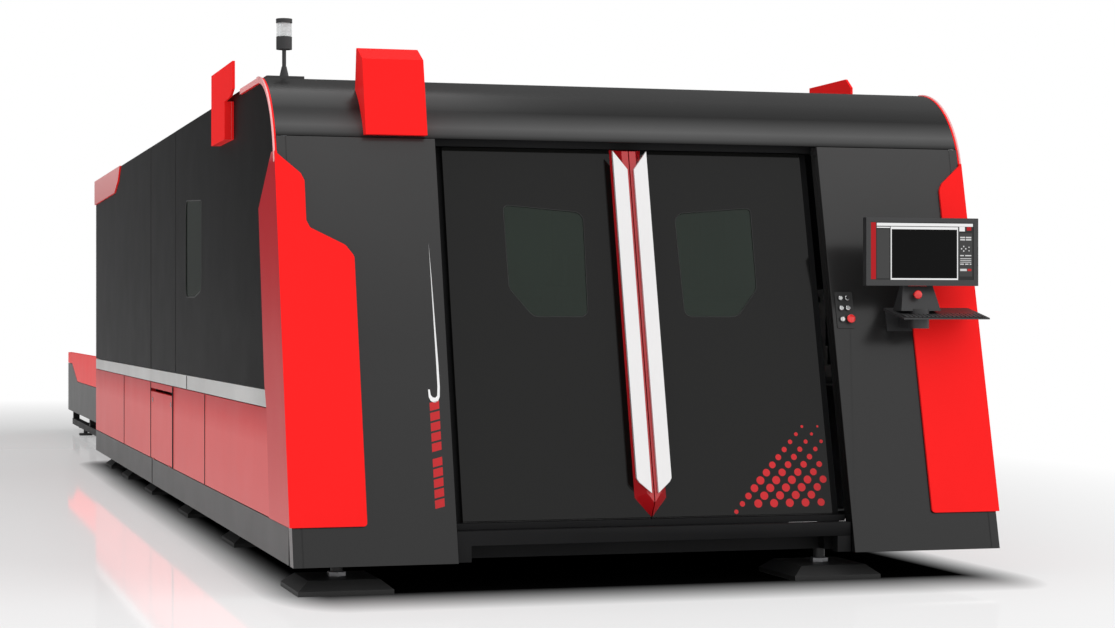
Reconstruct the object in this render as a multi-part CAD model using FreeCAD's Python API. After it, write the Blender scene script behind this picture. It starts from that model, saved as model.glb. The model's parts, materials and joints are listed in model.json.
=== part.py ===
import FreeCAD, Part
import math
import os
from FreeCAD import Vector

# Enclosed fibre laser cutting machine with a two-level pallet exchange table.
# Millimetres, +Z up, +Y from the doors to the rear. While it is drawn, x = 0 is the middle of the
# machine, y = 0 the foot of the front and z = 0 the floor. Every piece is moved along Y once, as
# it is saved, so that the origin ends on the floor under the middle of the whole box.

# overall
cabinWidth = 3150.0
cabinLength = 9133.0
roofHeight = 2198.0
skirtBottom = 120.0
faceLean = 13.9              # degrees that the front leans back
archRadius = 473.0           # rounded edge between the front and the roof
sheet = 3.0                  # folded steel sheet
seam = 4.0                   # gap between neighbouring panels
panDepth = 30.0              # folded edge of a panel
tube = 40.0                  # square tube of the cabin frame

# bands and seams along the sides
skirtTop = 277.0
stripBottom = 748.0
stripTop = 828.0
stripSeams = [3480.0]
upperSeams = [3997.0, 5258.0]
lowerSeams = [2731.0, 4102.0, 5267.0, 6926.0]
skirtSeams = [5188.0]
roofSeams = [3997.0, 5258.0, 7200.0]
accessBay = 2                # the lower bay, counted from the front, that is a door on the left
accessGap = 6.0
fingerSlot = 20.0            # open slot over the access door
lintelHeight = 36.0
rearHeight = 30.0            # depth of the rear wall's panels

# front
doorwayHalf = 885.0          # from the middle to a column
columnDepth = 80.0
coverDrop = 283.0            # the rounded front cover's lower edge, below the roof
cornerStrip = 40.0
leafHalf = 835.0             # from the middle to a leaf's outer edge
leafBottom = 282.0
leafUnderCover = 30.0
leafSetBack = 95.0
leafDepth = 35.0
leafGap = 4.0
glass = 6.0
barInner, barOuter, barThickness, barStandOff = 15.0, 78.0, 16.0, 20.0
wedgeHalf, wedgeRidge = 72.0, 32.0
sillBottom, sillTop = 190.0, 249.0
jamb = 80.0                  # post behind each leaf's outer edge

# red corner covers and badges
coverProud = 12.0
trimWidth = 25.0
trimOverlap = 9.0            # the trim starts at least this far below the cover's top edge
badgeProud = 45.0
badgePlate = 12.0            # thickness of a side badge's upper plate
frontBadgeLeft, frontBadgeRight = -1196.0, -926.0
hairline = 0.2               # left between parts that are fixed to each other

# signal lamp, from its base plate up
lampX, lampBehindArch = -1460.0, 45.5
lampPlate, lampFoot, lampPole, lampHousing, lampLensHeight, lampCap = 14.0, 45.0, 76.0, 56.0, 62.0, 18.0
poleRadius, housingRadius, lensRadius, lensWall = 9.0, 35.0, 34.0, 4.0

# cabin frame
jambDepth, cornerPostDepth = 60.0, 50.0
frameFoot = 4.0              # the frame stands this far above the skirts' lower edge
bottomRail = 60.0            # height of the two long bottom rails and of the front cross tube

# bed, rails and racks
bedStart, bedEnd = 1180.0, 8700.0
bedBeamInner, bedBeamWidth = 1150.0, 200.0
bedBottom, bedTop = 200.0, 820.0
bedWall = 10.0
bedCrosses = [1400.0, 3200.0, 5000.0, 6800.0, 8600.0]
bedCrossHeight = 120.0
railWidth, railHeight, railX = 34.0, 28.0, 1307.0
toothModule, pinionTeeth, pressureAngle = 5.0, 18, 20.0
rackPitchLine = 1227.0       # from the middle to the racks' pitch line
rackBottom, rackWidth, rackBack = 822.0, 30.0, 22.0
rackSegments, rackTeethEach = 7, 64
backlash = 0.3

# gantry and head
gantryY = 1560.0             # middle of the beam at rest
beamDepth, beamHeight, beamBottom, beamWall = 280.0, 280.0, 1000.0, 12.0
beamHalf = 1330.0
truckLength, truckTop, truckThickness = 530.0, 906.0, 40.0
pinionY = 1760.0
shaftRadius = 12.0
motorSize, motorHeight = 110.0, 240.0
carriageHalf = 150.0
headTip = 835.0                  # the nozzle's tip at rest
running = 0.5                # clearance between parts that slide on each other

# pallets, tracks and exchange table
palletHalf, palletLength, palletStart, palletBottom = 1050.0, 6000.0, 1950.0, 390.0
palletRail, palletRailHeight = 60.0, 110.0
slatHeight, slatThickness, slatPitch, slatTop = 120.0, 5.0, 98.0, 570.0
levelRise = 230.0            # between the two levels of the lift
trackThickness, trackWidth = 12.0, 150.0
tableGap = 67.0              # between the cabin's rear and the pallet outside
tableEnd = 60.0              # the covers run this far past the pallet
tableFront, tablePosts = 20.0, 4     # gap between the cabin's rear and the table; posts on each side
tableHalf, tableTop = 1325.0, 795.0
tableCoverBottom, tableSkirtBottom, tableCoverDepth = 522.0, 208.0, 40.0
liftBeam = 40.0
rearDoorHalf, rearDoorBottom, rearDoorHeight, rearDoorGap = 1130.0, 860.0, 500.0, 7.0
slotHalf, slotBottom, slotTop = 1100.0, 365.0, 845.0
guideInner, guideOuter, guideDepth, guideLip = 1118.0, 1166.0, 44.0, 6.0
floorRailBottom, floorRailTop = 60.0, 120.0
topRailBottom, topRailTop = 730.0, 780.0
coverLowEdge = 688.0         # the covers' lower edge where they are cut away at the far end
cutAwayStart, cutAwayEnd = 1170.0, 510.0     # slanted edge of the cut-away, from the table's rear

# console
consoleX, consoleY = 1240.0, 120.0
monitorWidth, monitorHeight, monitorDepth, monitorZ = 538.0, 300.0, 36.0, 1431.0
monitorFront = 80.0
panelX, panelZ, buttonPitchX, buttonPitchZ = 942.0, 1181.0, 31.0, 44.0
buttonRadius, buttonTop, collarTop = 10.0, 14.0, 11.5
mushroomRadius, mushroomBottom, mushroomHeight = 19.0, 17.0, 12.0
consoleStopX, consoleStopZ = 1222.0, 1242.0

armRight = 1258.0            # the arm and its wall plate end clear of the corner cover
pivotRadius, trayUnder = 45.0, 1154.5
tiltY, tiltZ, tiltPin = 142.0, 1310.0, 6.0

# floor pads
padWidth, padLength, padHeight, studRadius = 400.0, 440.0, 60.0, 26.0
padTaper = 50.0
tableFoot, tableFootHeight, tableStud = 120.0, 20.0, 20.0
frontPads = [-1352.0, 815.0]
frontPadY = 246.0
padX = 1300.0
padPlaces = [2420.0, 4260.0, 6110.0, 7630.0, 8900.0]
tablePadPlaces = [9700.0, 11900.0, 14000.0]

# worked out from the sizes above
halfWidth = cabinWidth / 2
coverBottom = roofHeight - coverDrop
leafTop = coverBottom - leafUnderCover
slope = math.tan(math.radians(faceLean))
archY = slope * (roofHeight - archRadius - skirtBottom) + archRadius * math.sqrt(1 + slope ** 2)
archZ = roofHeight - archRadius
palletOutY = cabinLength + tableGap
tableRear = palletOutY + palletLength + tableEnd
middleY = tableRear / 2


def faceY(z, off=0.0):
    """Place of the leaning front at a height, set back by off along Y."""
    return off + (z - skirtBottom) * slope


def box(x0, x1, y0, y1, z0, z1):
    return Part.makeBox(x1 - x0, y1 - y0, z1 - z0, Vector(x0, y0, z0))


def mirrored(shape):
    return shape.mirror(Vector(0, 0, 0), Vector(1, 0, 0))


def pair(shape):
    """A piece on the right side and its mirror image on the left."""
    return [shape, mirrored(shape)]


def fused(shapes):
    whole = shapes[0]
    for other in shapes[1:]:
        whole = whole.fuse(other)
    return whole.removeSplitter()


def save(name, shapes):
    """Write one named piece, or one group of like pieces, as a STEP file."""
    solids = []
    for shape in shapes:
        solids += [s for s in shape.Solids]
    group = Part.Compound([s.translated(Vector(0, -middleY, 0)) for s in solids])
    group.exportStep("parts/%s.step" % name)
    print(name, len(solids), round(sum(s.Volume for s in solids) * 1e-9, 4))


def roundedWire(points, radii):
    """Closed outline through points, each corner rounded by its own radius (0 keeps it sharp)."""
    count = len(points)
    edges, ends = [], []
    for i, p in enumerate(points):
        before, after = points[i - 1], points[(i + 1) % count]
        u, v = (before - p).normalize(), (after - p).normalize()
        r = radii[i]
        if r <= 0:
            ends.append((p, p))
            continue
        half = u.getAngle(v) / 2
        reach = r / math.tan(half)
        centre = p + (u + v).normalize() * (r / math.sin(half))
        a, b = p + u * reach, p + v * reach
        edges.append(Part.Arc(a, centre + (p - centre).normalize() * r, b).toShape())
        ends.append((a, b))
    for i in range(count):
        a, b = ends[i][1], ends[(i + 1) % count][0]
        if (b - a).Length > 1e-6:
            edges.append(Part.makeLine(a, b))
    return Part.Wire(Part.__sortEdges__(edges))


def pan(wire, depth, wall=sheet):
    """Folded tray: the outline carried along depth, open at the far side, one wall thick."""
    inner = wire.makeOffset2D(-wall)
    hollow = Part.Face(inner).extrude(depth * 1.5)
    hollow.translate(depth * (wall / depth.Length))
    return Part.Face(wire).extrude(depth).cut(hollow)


def prism(wire, depth):
    return Part.Face(wire).extrude(depth)


def frontWire(points, off, radii=None):
    """Outline on the leaning front, given as (x, z) points."""
    places = [Vector(x, faceY(z, off), z) for x, z in points]
    return roundedWire(places, radii or [0] * len(points))


def frontPrism(points, off0, off1, radii=None):
    return prism(frontWire(points, off0, radii), Vector(0, off1 - off0, 0))


def rectangle(x0, x1, z0, z1):
    return [(x0, z0), (x1, z0), (x1, z1), (x0, z1)]


def sideWire(x, points, radii=None):
    """Outline on a plane across X, given as (y, z) points."""
    return roundedWire([Vector(x, y, z) for y, z in points], radii or [0] * len(points))


def archPoint(radius, angle):
    """Point (y, z) on a circle about the arch's centre, angle up from the horizontal."""
    return archY - radius * math.cos(angle), archZ + radius * math.sin(angle)


def archSolid(x0, x1, outer, inner, angle0, angle1):
    """Part of a ring about the arch's centre line, between two radii and two angles."""
    def point(radius, angle):
        y, z = archPoint(radius, angle)
        return Vector(x0, y, z)
    middle = (angle0 + angle1) / 2
    edges = [
        Part.Arc(point(outer, angle0), point(outer, middle), point(outer, angle1)).toShape(),
        Part.makeLine(point(outer, angle1), point(inner, angle1)),
        Part.Arc(point(inner, angle1), point(inner, middle), point(inner, angle0)).toShape(),
        Part.makeLine(point(inner, angle0), point(outer, angle0)),
    ]
    return prism(Part.Wire(edges), Vector(x1 - x0, 0, 0))


def sidePan(y0, y1, z0, z1, depth=panDepth):
    """Rectangular folded panel on the right side of the cabin."""
    wire = sideWire(halfWidth, [(y0, z0), (y1, z0), (y1, z1), (y0, z1)])
    return pan(wire, Vector(-depth, 0, 0))


def bays(start, seams, end):
    """Stretches between seams, each shortened by half a seam at its own joints."""
    edges = [start] + seams + [end]
    spans = []
    for i in range(len(edges) - 1):
        low = edges[i] + (seam / 2 if i > 0 else 0)
        high = edges[i + 1] - (seam / 2 if i < len(seams) else 0)
        spans.append((low, high))
    return spans


def squareTube(x0, x1, y0, y1, z0, z1, wall, along):
    """Hollow rectangular tube, open at both ends of its own axis."""
    grow = {"x": (0, wall, wall), "y": (wall, 0, wall), "z": (wall, wall, 0)}[along]
    gx, gy, gz = grow
    bore = box(x0 + gx, x1 - gx, y0 + gy, y1 - gy, z0 + gz, z1 - gz)
    return box(x0, x1, y0, y1, z0, z1).cut(bore)


def leaningTube(x0, x1, z0, z1, off0, off1, wall=sheet):
    """Hollow tube that runs up the leaning front, open at both ends."""
    bore = frontPrism(rectangle(x0 + wall, x1 - wall, z0 - 1, z1 + 1), off0 + wall, off1 - wall)
    return frontPrism(rectangle(x0, x1, z0, z1), off0, off1).cut(bore)


# ---- cabin ---------------------------------------------------------------------------------
frameBack = columnDepth + 2.0        # panels and frame start this far behind the front face


def makeColumns():
    """Folded front column beside the doorway, with a groove that marks the corner strip."""
    top = coverBottom - sheet
    outline = frontWire(rectangle(doorwayHalf, halfWidth, skirtBottom, top), 0)
    column = pan(outline, Vector(0, columnDepth, 0))
    grooveX = halfWidth - cornerStrip
    groove = frontPrism(rectangle(grooveX - 2, grooveX + 2, skirtBottom, top), -1, sheet / 2)
    return column.cut(groove)


def makeFrontCover():
    """Rounded sheet over the front's upper edge, with a folded lip at its lower edge."""
    angle = math.asin((coverBottom - archZ) / archRadius)
    bend = archSolid(-halfWidth, halfWidth, archRadius, archRadius - sheet, angle, math.pi / 2)
    y = archPoint(archRadius, angle)[0]
    low = coverBottom + hairline / 2
    lip = box(-halfWidth, halfWidth, y + hairline, y + panDepth, low, coverBottom + sheet)
    return fused([bend, lip])


def makeUpperPanels():
    """Upper side sheets: the front one follows the lean and the arch, and holds the window."""
    spans = bays(0, upperSeams, cabinLength - sheet)
    low, high = stripTop + seam / 2, roofHeight
    inner = archRadius - sheet - 2
    foot = coverBottom + sheet + 1
    start = math.asin((foot - archZ) / inner)
    sweep = [archPoint(inner, a) for a in (start, (start + math.pi / 2) / 2, math.pi / 2)]
    a, b, c = [Vector(halfWidth, y, z) for y, z in sweep]
    corners = [(faceY(low, frameBack), low), (spans[0][1], low), (spans[0][1], high), (archY, high)]
    v = [Vector(halfWidth, y, z) for y, z in corners]
    knee = Vector(halfWidth, faceY(foot, frameBack), foot)
    edges = [Part.makeLine(v[0], v[1]), Part.makeLine(v[1], v[2]), Part.makeLine(v[2], v[3]),
             Part.makeLine(v[3], c), Part.Arc(c, b, a).toShape(), Part.makeLine(a, knee),
             Part.makeLine(knee, v[0])]
    front = prism(Part.Wire(edges), Vector(-sheet, 0, 0))
    rim = box(halfWidth - panDepth, halfWidth, spans[0][1] - sheet, spans[0][1], low, high)
    front = fused([front, rim])
    front = front.cut(prism(windowWire(halfWidth + 1, 0), Vector(-panDepth, 0, 0)))
    rest = [sidePan(y0, y1, low, high) for y0, y1 in spans[1:]]
    return [front] + rest


windowPoints = [(2854.0, 1285.0), (3139.0, 1251.0), (3526.0, 1254.0), (3526.0, 1783.0), (2854.0, 1754.0)]
windowRadii = [60.0, 150.0, 60.0, 60.0, 40.0]


def windowWire(x, grow):
    wire = sideWire(x, windowPoints, windowRadii)
    return wire.makeOffset2D(grow) if grow else wire


def makeSideWindow():
    """Tinted pane held behind the side panel, wider than the opening by its rebate."""
    return prism(windowWire(halfWidth - sheet, 20.0), Vector(-glass, 0, 0))


def makeStrips():
    start = faceY(stripTop, frameBack)
    low, high = stripBottom + seam / 2, stripTop - seam / 2
    return [sidePan(y0, y1, low, high) for y0, y1 in bays(start, stripSeams, cabinLength - sheet)]


def lowerBays():
    return bays(faceY(stripBottom, frameBack), lowerSeams, cabinLength - sheet)


def makeLowerPanels(withDoor):
    """Red lower side panels; on the left the access door takes one bay."""
    low, high = skirtTop + seam / 2, stripBottom - seam / 2
    panels = []
    for i, (y0, y1) in enumerate(lowerBays()):
        if i == accessBay and withDoor:
            continue
        panels.append(sidePan(y0, y1, low, high))
    return panels


def makeAccessLintel():
    """Narrow panel over the access door's finger slot."""
    y0, y1 = lowerBays()[accessBay]
    return mirrored(sidePan(y0, y1, stripBottom - seam / 2 - lintelHeight, stripBottom - seam / 2))


def makeAccessDoor():
    """Folded door on the left, hinged along its lower edge."""
    y0, y1 = lowerBays()[accessBay]
    top = stripBottom - seam / 2 - lintelHeight - fingerSlot
    door = sidePan(y0 + accessGap, y1 - accessGap, skirtTop + seam / 2 + 1, top, panDepth - 2)
    return mirrored(door)


def makeSkirts():
    skirts = []
    for y0, y1 in bays(faceY(skirtTop, frameBack), skirtSeams, cabinLength - sheet):
        skirts.append(sidePan(y0, y1, skirtBottom, skirtTop - seam / 2))
    return skirts


def makeRoof():
    """Roof trays between the side panels."""
    x = halfWidth - panDepth - 3
    trays = []
    for y0, y1 in bays(archY + 2, roofSeams, cabinLength - rearHeight - 4):
        base = [Vector(-x, y0, roofHeight), Vector(x, y0, roofHeight),
                Vector(x, y1, roofHeight), Vector(-x, y1, roofHeight)]
        trays.append(pan(roundedWire(base, [0] * 4), Vector(0, 0, -panDepth)))
    return trays


def makeRearWall():
    """Rear trays round the pallet slot, and the guides of the lift door."""
    y = cabinLength
    x = halfWidth - panDepth - 3
    spans = [(-x, -slotHalf, skirtBottom, slotTop), (slotHalf, x, skirtBottom, slotTop),
             (-slotHalf + seam, slotHalf - seam, skirtBottom, slotBottom),
             (-x, -seam / 2, slotTop + seam, roofHeight), (seam / 2, x, slotTop + seam, roofHeight)]
    trays = []
    for x0, x1, z0, z1 in spans:
        base = [Vector(x0, y, z0), Vector(x1, y, z0), Vector(x1, y, z1), Vector(x0, y, z1)]
        trays.append(pan(roundedWire(base, [0] * 4), Vector(0, -rearHeight, 0)))
    low, high = slotBottom - 25, rearDoorBottom + rearDoorHeight + 60
    face = y - rearHeight
    channel = box(guideInner, guideOuter, face - guideDepth, face, low, high)
    y0, y1 = face - guideDepth + guideLip, face - guideLip
    channel = channel.cut(box(guideInner - 1, rearDoorHalf + 2, y0, y1, low - 1, high + 1))
    return trays + pair(channel)


def makeRearDoor():
    """Lift door that closes the pallet slot; it hangs raised."""
    y = cabinLength - rearHeight - rearDoorGap
    x, z0, z1 = rearDoorHalf, rearDoorBottom, rearDoorBottom + rearDoorHeight
    base = [Vector(-x, y, z0), Vector(x, y, z0), Vector(x, y, z1), Vector(-x, y, z1)]
    return pan(roundedWire(base, [0] * 4), Vector(0, -panDepth, 0))


def makeCabinFrame():
    """Square tubes that carry the panels: rails, posts at the seams, roof ties and door jambs."""
    x0, x1 = halfWidth - panDepth - tube, halfWidth - panDepth
    low, high = skirtBottom + frameFoot, roofHeight - panDepth
    rear = cabinLength - rearHeight - 50
    parts = []
    start = faceY(low, frameBack + 140)
    parts += pair(squareTube(x0, x1, start, rear, low, low + bottomRail, sheet, "y"))
    parts += pair(squareTube(x0, x1, archY + 60, rear, high - tube, high, sheet, "y"))
    for y in (upperSeams[0], upperSeams[1], roofSeams[2], rear - tube / 2):
        y0, y1 = y - tube / 2, y + tube / 2
        parts += pair(squareTube(x0, x1, y0, y1, low + bottomRail, high - tube, sheet, "z"))
        parts.append(squareTube(-x0, x0, y0, y1, high - tube, high, sheet, "x"))
    behindLeaf = leafSetBack + leafDepth + 10
    side = leafHalf - 35
    parts += pair(leaningTube(side, side + jamb, low, leafTop, behindLeaf, behindLeaf + jambDepth))
    y0, y1 = frontPadY - bottomRail / 2, frontPadY + bottomRail / 2
    parts.append(squareTube(-x0, x0, y0, y1, skirtBottom, skirtBottom + bottomRail, sheet, "x"))
    off = frameBack + 10
    parts += pair(leaningTube(x0, x1, low + bottomRail + 2, coverBottom - 30, off, off + cornerPostDepth))
    return parts


def makeHeader():
    """Track above the doors."""
    y = faceY(leafTop, leafSetBack + 8)
    return squareTube(-halfWidth + panDepth + 45, halfWidth - panDepth - 45, y, y + 70,
                      leafTop + 3, leafTop + 75, sheet, "x")


def makeSill():
    """Front sill with its two legs and the strip that the doors run above."""
    y = faceY(sillBottom, 25)
    half = doorwayHalf - 3
    beam = squareTube(-half, half, y, y + 60, sillBottom, sillTop, sheet, "x")
    leg = squareTube(half - 62, half, y, y + 60, skirtBottom, sillBottom, sheet, "z")
    strip = box(-half, half, faceY(sillTop, leafSetBack - 20), faceY(sillTop, leafSetBack + leafDepth + 8),
                sillTop, sillTop + 27)
    return [beam] + pair(leg) + [strip]


def makeCornerCover():
    """Red folded cover on a front corner, with the trim that runs on up the arch and the roof edge."""
    back = -coverProud
    inner, outer = doorwayHalf + 379, halfWidth + coverProud
    low, high = skirtTop + seam + 1, coverBottom - 69
    front = [(inner, low), (outer, low), (outer, high), (outer - 109, high - 94), (outer - 124, high - 126),
             (outer - 124, high - 295), (outer - 139, high - 326), (inner + 36, high - 399),
             (inner, high - 446)]
    radii = [15, 0, 0, 20, 20, 15, 20, 40, 40]
    plate = pan(frontWire(front, back, radii), Vector(0, coverProud - hairline, 0))
    side = [(faceY(low, back), low), (551, low), (624, stripBottom - 8), (682, stripTop + 18),
            (850, high - 226), (archY - 385, high), (faceY(high, back), high)]
    flange = pan(sideWire(outer, side), Vector(hairline - coverProud, 0, 0))
    x0 = halfWidth + hairline
    radius = archRadius + 1
    start = min(0.98 * math.atan(slope), math.asin((high - trimOverlap - archZ) / radius))
    trim = archSolid(x0, outer, radius, radius - trimWidth, start, math.pi / 2)
    edge = box(x0, outer, archY, leftBadge["front"] - 6, roofHeight + 1 - trimWidth, roofHeight + 1)
    return fused([plate, flange, trim, edge])


def makeRearCornerPlate():
    """Red plate at the top of a rear corner."""
    y, z = cabinLength, roofHeight
    outline = [(y, z - 181), (y, z), (y - 1997, z), (y - 1854, z - 98), (y - 1599, z - 169)]
    return pan(sideWire(halfWidth + coverProud, outline), Vector(hairline - coverProud, 0, 0))


# outlines of the side badges: lengths along Y, heights from the roof, and the size of the cut corner
leftBadge = {"front": 1420.0, "rear": 2150.0, "body": 1685.0, "top": 132.0, "notch": 3.0, "low": -213.0,
             "cut": (0.0, 0.0)}
rightBadge = {"front": 1760.0, "rear": 2325.0, "body": 1980.0, "top": 174.0, "notch": 3.0, "low": -192.0,
              "cut": (70.0, 50.0)}


def makeSideBadge(sign):
    """Red sign plate on the right side: a wide upper plate over a narrower box that stands off."""
    x = halfWidth + badgeProud
    front, rear, body = sign["front"], sign["rear"], sign["body"]
    top, notch, low = roofHeight + sign["top"], roofHeight + sign["notch"], roofHeight + sign["low"]
    along, down = sign["cut"]
    upper = [(front, notch), (front + 80, notch - 29), (body, notch - 36), (rear, notch - 36), (rear, top)]
    upper += [(front + along, top), (front, top - down)] if along else [(front, top)]
    plate = prism(sideWire(x, upper), Vector(-badgePlate, 0, 0))
    outline = [(body, low), (rear, low), (rear, notch - 36), (body, notch - 36)]
    return fused([plate, pan(sideWire(x, outline), Vector(hairline - badgeProud, 0, 0))])


def makeFrontBadge():
    """Red sign box over the front cover: leaning face, bevelled top, open towards the cover."""
    z0, z1, top = coverBottom + 8, roofHeight + 57, roofHeight + 114
    a = (faceY(z0, -badgeProud), z0)
    b = (faceY(z1, -badgeProud), z1)
    back = archY - 267
    outline = [a, b, (back - 18, top), (back, top), (back + 30, roofHeight - 90), (a[0] + 60, z0)]
    width = Vector(frontBadgeRight - frontBadgeLeft, 0, 0)
    body = prism(sideWire(frontBadgeLeft, outline), width)
    inset = sideWire(frontBadgeLeft + sheet, outline).makeOffset2D(-sheet)
    body = body.cut(prism(inset, Vector(width.x - 2 * sheet, 0, 0)))
    nose = Part.makeCylinder(archRadius + 2 * hairline, 2 * halfWidth, Vector(-halfWidth, archY, archZ),
                             Vector(1, 0, 0))
    return body.cut(nose)


def makeLampPost():
    """Signal lamp: base plate, conical foot, pole, dark housing and the cap over the lens."""
    x, y, z = lampX, archY + lampBehindArch, roofHeight
    pieces = [box(x - 84, x + 84, y - 40, y + 50, z, z + lampPlate)]
    z += lampPlate
    pieces.append(Part.makeCone(21, 11, lampFoot, Vector(x, y, z)))
    z += lampFoot
    for radius, height in ((poleRadius, lampPole), (housingRadius, lampHousing),
                           (poleRadius - 3, lampLensHeight), (housingRadius + 1, lampCap)):
        pieces.append(Part.makeCylinder(radius, height, Vector(x, y, z)))
        z += height
    return fused(pieces)


def makeLampLens():
    """Clear ring between the lamp's housing and its cap."""
    x, y = lampX, archY + lampBehindArch
    low = roofHeight + lampPlate + lampFoot + lampPole + lampHousing
    outer = Part.makeCylinder(lensRadius, lampLensHeight - 2 * hairline, Vector(x, y, low + hairline))
    return outer.cut(Part.makeCylinder(lensRadius - lensWall, lampLensHeight + 1, Vector(x, y, low - 1)))


# ---- sliding doors -------------------------------------------------------------------------
leafWindow = [(222.0, 1143.0), (470.0, 1143.0), (572.0, 1268.0), (575.0, 1633.0), (211.0, 1603.0)]
leafWindowRadii = [35.0, 60.0, 60.0, 22.0, 45.0]


def makeLeaf():
    """Right leaf as a folded tray with the window cut through it."""
    outline = frontWire(rectangle(leafGap / 2, leafHalf, leafBottom, leafTop), leafSetBack)
    leaf = pan(outline, Vector(0, leafDepth, 0))
    hole = frontPrism(leafWindow, leafSetBack - 1, leafSetBack + leafDepth, leafWindowRadii)
    return leaf.cut(hole)


def makeLeafWindow():
    wire = frontWire(leafWindow, leafSetBack + sheet, leafWindowRadii).makeOffset2D(18.0)
    return prism(wire, Vector(0, glass, 0))


def makeBar():
    """Flat pull bar with slanted ends; its outer half overhangs so that fingers reach behind."""
    low, high = leafBottom + 108, leafTop - 8
    outline = [(barInner, low), (barOuter - 10, low + 46), (barOuter, low + 62), (barOuter, high),
               (barInner, high - 82)]
    return frontPrism(outline, barStandOff, barStandOff + barThickness, [0, 12, 12, 0, 6])


def makeWedge():
    """Half of the faceted red spine behind the bars, pointed at its lower end."""
    low, high = leafBottom + 1, leafTop
    half = leafGap / 2
    ridgeOff = barStandOff + barThickness
    base = frontWire([(half, low), (wedgeHalf, 365), (wedgeHalf, high), (half, high)], leafSetBack)
    ridge = frontWire([(half, 350), (wedgeRidge, 392), (wedgeRidge, high - 8), (half, high - 8)], ridgeOff)
    return Part.makeLoft([base, ridge], True, True)


# ---- bed, rails and gantry -----------------------------------------------------------------
def makeBed():
    """Two hollow side beams, the cross beams under the pallet and the inner gussets."""
    inner, outer = bedBeamInner, bedBeamInner + bedBeamWidth
    parts = pair(squareTube(inner, outer, bedStart, bedEnd, bedBottom, bedTop, bedWall, "y"))
    for y in bedCrosses:
        parts.append(squareTube(-inner, inner, y - 60, y + 60, bedBottom, bedBottom + bedCrossHeight,
                                bedWall, "x"))
    return parts


def makeRails():
    return pair(box(railX - railWidth / 2, railX + railWidth / 2, bedStart + 40, bedEnd - 20,
                    bedTop, bedTop + railHeight))


def rackOutline(first, teeth, z):
    """Straight-sided teeth that point to -X; a gap is centred on every whole pitch from pinionY."""
    pitch = math.pi * toothModule
    tan = math.tan(math.radians(pressureAngle))
    tip, root = toothModule, 1.25 * toothModule
    half = pitch / 4 - backlash / 2
    back = rackPitchLine + rackBack
    points = [Vector(back, first, z), Vector(rackPitchLine + root, first, z)]
    for i in range(teeth):
        middle = first + (i + 0.5) * pitch
        points += [Vector(rackPitchLine + root, middle - half - root * tan, z),
                   Vector(rackPitchLine - tip, middle - half + tip * tan, z),
                   Vector(rackPitchLine - tip, middle + half - tip * tan, z),
                   Vector(rackPitchLine + root, middle + half + root * tan, z)]
    end = first + teeth * pitch
    points += [Vector(rackPitchLine + root, end, z), Vector(back, end, z)]
    return Part.makePolygon(points + [points[0]])


def makeRacks():
    """Rack bars laid end to end on the bed beams."""
    pitch = math.pi * toothModule
    first = pinionY - 7 * pitch
    racks = []
    for i in range(rackSegments):
        wire = rackOutline(first + i * rackTeethEach * pitch, rackTeethEach, rackBottom)
        racks += pair(prism(wire, Vector(0, 0, rackWidth)))
    return racks


def pinionOutline(centre):
    """Involute teeth, one of them pointing to +X at the rack."""
    r = toothModule * pinionTeeth / 2
    alpha = math.radians(pressureAngle)
    base, tip, root = r * math.cos(alpha), r + toothModule, r - 1.25 * toothModule
    atPitch = math.pi / (2 * pinionTeeth) - backlash / (2 * r)
    involute = math.tan(alpha) - alpha

    def halfAngle(radius):
        phi = math.acos(min(1.0, base / radius))
        return atPitch + involute - (math.tan(phi) - phi)
    steps = [max(base, root) + (tip - max(base, root)) * k / 5 for k in range(6)]
    points = []
    for i in range(pinionTeeth):
        middle = 2 * math.pi * i / pinionTeeth
        flank = [(root, halfAngle(steps[0]) + 0.01)] + [(q, halfAngle(q)) for q in steps]
        turns = [(q, middle - a) for q, a in flank] + [(q, middle + a) for q, a in reversed(flank)]
        points += [centre + Vector(q * math.cos(t), q * math.sin(t), 0) for q, t in turns]
    return Part.makePolygon(points + [points[0]])


def makePinion():
    """Right pinion with its shaft, turning about a vertical axis."""
    r = toothModule * pinionTeeth / 2
    centre = Vector(rackPitchLine - r, pinionY, rackBottom + 2)
    gear = prism(pinionOutline(centre), Vector(0, 0, rackWidth - 4))
    shaft = Part.makeCylinder(shaftRadius, truckTop - centre.z - 1, centre)
    return gear.fuse(shaft)


def makeTruck():
    """End plate of the gantry with its four rail blocks and the riser under the beam."""
    y0 = gantryY - 260
    plate = box(1130, 1390, y0, y0 + truckLength + 12, truckTop - truckThickness, truckTop)
    pinionX = rackPitchLine - toothModule * pinionTeeth / 2
    plate = plate.cut(Part.makeCylinder(shaftRadius + 2, 100, Vector(pinionX, pinionY, truckTop - 60)))
    riser = squareTube(1155, 1345, gantryY - 130, gantryY + 130, truckTop, beamBottom, beamWall, "z")
    blocks = []
    half = railWidth / 2 + running
    for y in (y0 + 20, y0 + truckLength - 130):
        block = box(railX - 46, railX + 46, y, y + 120, bedTop + 6, truckTop - truckThickness)
        slot = box(railX - half, railX + half, y - 1, y + 121, bedTop, bedTop + railHeight + running)
        blocks.append(block.cut(slot))
    return [plate, riser] + blocks


def makeBeam():
    y0, top = gantryY - beamDepth / 2, beamBottom + beamHeight
    return squareTube(-beamHalf, beamHalf, y0, y0 + beamDepth, beamBottom, top, beamWall, "x")


def makeMotor():
    """Servo motor with its gearbox flange, standing on the end plate."""
    pinionX = rackPitchLine - toothModule * pinionTeeth / 2
    half = motorSize / 2
    gearbox = box(pinionX - half, pinionX + half, pinionY - half, pinionY + half, truckTop, truckTop + 70)
    body = box(pinionX - 45, pinionX + 45, pinionY - 45, pinionY + 45, truckTop + 70, truckTop + motorHeight)
    return fused([gearbox, body])


crossRailZ = [1050.0, 1230.0]
crossRailDepth, crossRailWidth = 22.0, 25.0


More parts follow.
